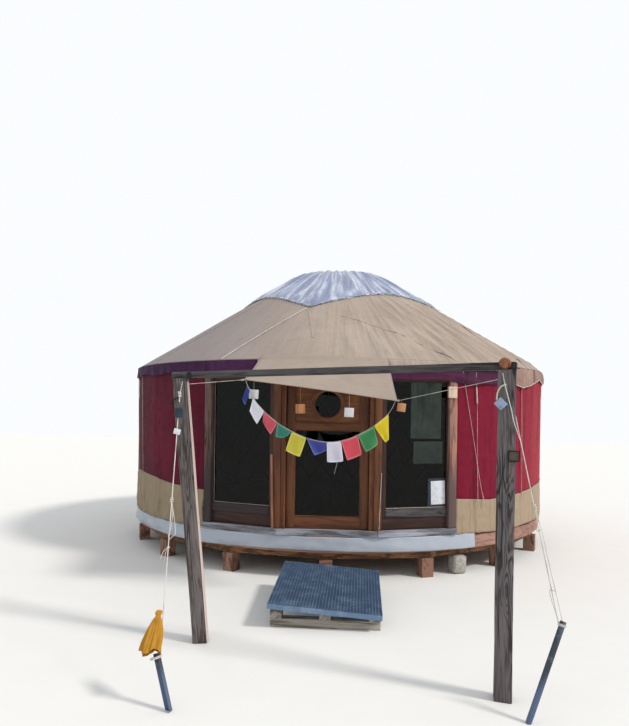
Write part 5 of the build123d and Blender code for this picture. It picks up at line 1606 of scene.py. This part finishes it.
def hanging_blocks():
    """Small blocks with eased edges on threads, each given as place, turn in degrees and wood, and one more
    on the right tie."""
    blocks = [(-0.608, 1.828, 7, cream_wood), (-0.199, 1.706, -4, small_wood), (0.227, 1.68, 5, cream_wood)]
    kinds = {}
    for seed, (x, z, tilt, finish) in enumerate(blocks):
        cut = kinds.setdefault(finish.material.name, (Cut(), finish))[0]
        middle = under_edge(x, z, 0.024)
        lean = radians(tilt)
        tall = np.array([sin(lean) * 0.4, 0.0, cos(lean)])
        board(cut, middle - tall * 0.041, middle + tall * 0.041, (1, 0, -sin(lean) * 0.4), 0.083, 0.019,
              seed + 91, edge=0.004, **hard)
        share = (x - awning_left[0]) / (awning_right[0] - awning_left[0])
        top = awning_left[2] * (1 - share) + awning_right[2] * share + 0.004
        rod(cut, straight(middle + tall * 0.04, (middle[0], middle[1], top), 0.02), 0.001, 6)
    corner = awning_right + (0, 0, 0.0015)
    hook = post_point("right", 0.045)
    at = corner + (hook - corner) * 0.06
    cut = kinds["small_wood"][0]
    board(cut, at - (0.004, 0, 0.1), at - (-0.004, 0, 0.028), (1, 0.35, 0.05), 0.074, 0.022, 97, edge=0.004,
          **hard)
    rod(cut, straight(at - (-0.004, 0, 0.029), at - (0, 0, 0.002), 0.006), 0.001, 6)
    for order, (cut, finish) in enumerate(kinds.values()):
        stands_for = ("hanging_blocks",) if order == 0 else ()
        cut.piece(f"hanging_{finish.material.name}", finish, stands_for=stands_for)


hanging_blocks()


def step():
    """A grating that falls to the right and to the front, with cross rods, on boards and bearers."""
    middle = np.array([0.074, -3.654, 0.2])
    over = unit([1, 0, -0.072])
    square = unit(np.cross(over, [0, 1, 0.052]))
    ahead = np.cross(square, over)
    half_x, half_y = 0.445, 0.5775

    def at(x, y, z=-0.02):
        return middle + x * over + y * ahead + z * square

    metal = Cut()
    for seed, y in enumerate((-half_y + 0.0025, half_y - 0.0025)):
        board(metal, at(-half_x, y), at(half_x, y), square, 0.04, 0.005, seed, edge=0.0008, wobble=0.0)
    for n, x in enumerate(np.linspace(-half_x + 0.0025, half_x - 0.0025, 37)):
        wide = 0.005 if n in (0, 36) else 0.004
        board(metal, at(x, -half_y + 0.005), at(x, half_y - 0.005), square, 0.0396, wide, n + 9, edge=0.0006,
              wobble=0.0, pitch=0.4)
    for n, y in enumerate(np.linspace(-half_y + 0.03, half_y - 0.03, 34)):
        board(metal, at(-half_x + 0.005, y, -0.0165), at(half_x - 0.005, y, -0.0165), square, 0.03, 0.003, n,
              edge=0.0006, wobble=0.0, pitch=0.4)
    metal.piece("grating", grating, stands_for=("step_grating",), smooth=False)
    base = Cut()
    floor = middle * (1, 1, 0)
    for seed, x in enumerate((-0.385, 0.0, 0.385)):
        for y in (-0.4575, 0.0, 0.4575):
            top = at(x, y, -0.0405)[2] - 0.0005
            middle_z = 0.0345 + top / 2
            board(base, floor + (x, y - 0.06, middle_z), floor + (x, y + 0.06, middle_z), (1, 0, 0), 0.09,
                  top - 0.069, seed + 5)
    for seed, y in enumerate((-0.4575, 0.0, 0.4575)):
        board(base, floor + (-0.43, y, 0.034), floor + (0.43, y, 0.034), (0, 1, 0), 0.09, 0.0675, seed + 15)
    base.piece("step_boards", pallet_wood, stands_for=("step_base",))


step()


def deck_boards():
    """Floor planks side by side, each ended by the round of the deck; one too short to lie there is left
    out."""
    cut = Cut()
    reach, plank, middle = wall_radius - 0.014, 0.12, deck_top - 0.0145
    for seed, x in enumerate(np.arange(-2.64, 2.66, plank)):
        half = max(reach ** 2 - (abs(x) + plank / 2) ** 2, 0) ** 0.5
        if half > 0.2:
            board(cut, (x, -half, middle), (x, half, middle), (1, 0, 0), plank - 0.0015, 0.028, seed,
                  edge=0.0015, wobble=0.0002, pitch=0.5)
    cut.piece("floor_planks", floor_wood, stands_for=("deck_floor",))


deck_boards()


def small_timber():
    """The lath and the stick that lean by the door, the block on the right end post, the thread below a flag,
    and the stone under the deck."""
    x = left_side.half - 0.03
    lath = board(Cut(), left_side.at(x, -0.026, sole_top + 0.001),
                 left_side.at(x - 0.018, -0.026, sole_top + 0.75),
                 left_side.over, 0.024, 0.012, 3, edge=0.002)
    lath.piece("leaning_lath", lath_pale, stands_for=("frame_laths",))
    stick = straight(right_side.at(-0.431, -0.03, sole_top + 0.004), right_side.at(-0.404, -0.013, 1.077),
                     0.05)
    rod(Cut(), stick, 0.0032, 8).piece("thin_stick", grey_rope)
    turn = front + window_end - post_shift
    middle = polar(front_radius, turn) + polar(1.0, turn) * 0.0175 - polar(0.028, turn + 90)
    cap = board(Cut(), middle + up * (head_bottom - 0.236), middle + up * (head_bottom - 0.118),
                polar(1.0, turn + 90), 0.106, 0.0215, 5, edge=0.003)
    cap.piece("post_cap", cap_wood)
    thread = spread([under_edge(0.13, 1.247), under_edge(0.118, 1.19), under_edge(0.105, 1.14)], 0.01)
    rod(Cut(), thread, 0.0012, 6).piece("flag_thread", white_rope)

    turn = radians(22.5)
    t = np.linspace(0.02, np.pi - 0.02, 30)[:, None]
    s = circle(44)[None]
    bulge = 1 + 0.05 * ripple(101, 3 * np.cos(s) * np.sin(t), 3 * np.sin(s) * np.sin(t) + 2 * np.cos(t), 1.0,
                              3.0)

    def square(value, power=0.35):
        return np.sign(value) * abs(value) ** power

    x = 0.0775 * square(np.cos(s)) * square(np.sin(t)) * bulge
    y = 0.075 * square(np.sin(s)) * square(np.sin(t)) * bulge
    z = 0.0975 + 0.0965 * square(np.cos(t)) + 0 * s
    place = np.mean(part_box("stone_block"), axis=0)
    grid = np.stack([place[0] + x * cos(turn) - y * sin(turn), place[1] + x * sin(turn) + y * cos(turn), z],
                    axis=-1)
    Cut().lay(grid[::-1], closed=True, ended=True).piece("stone", stone, stands_for=("stone_block",))


small_timber()
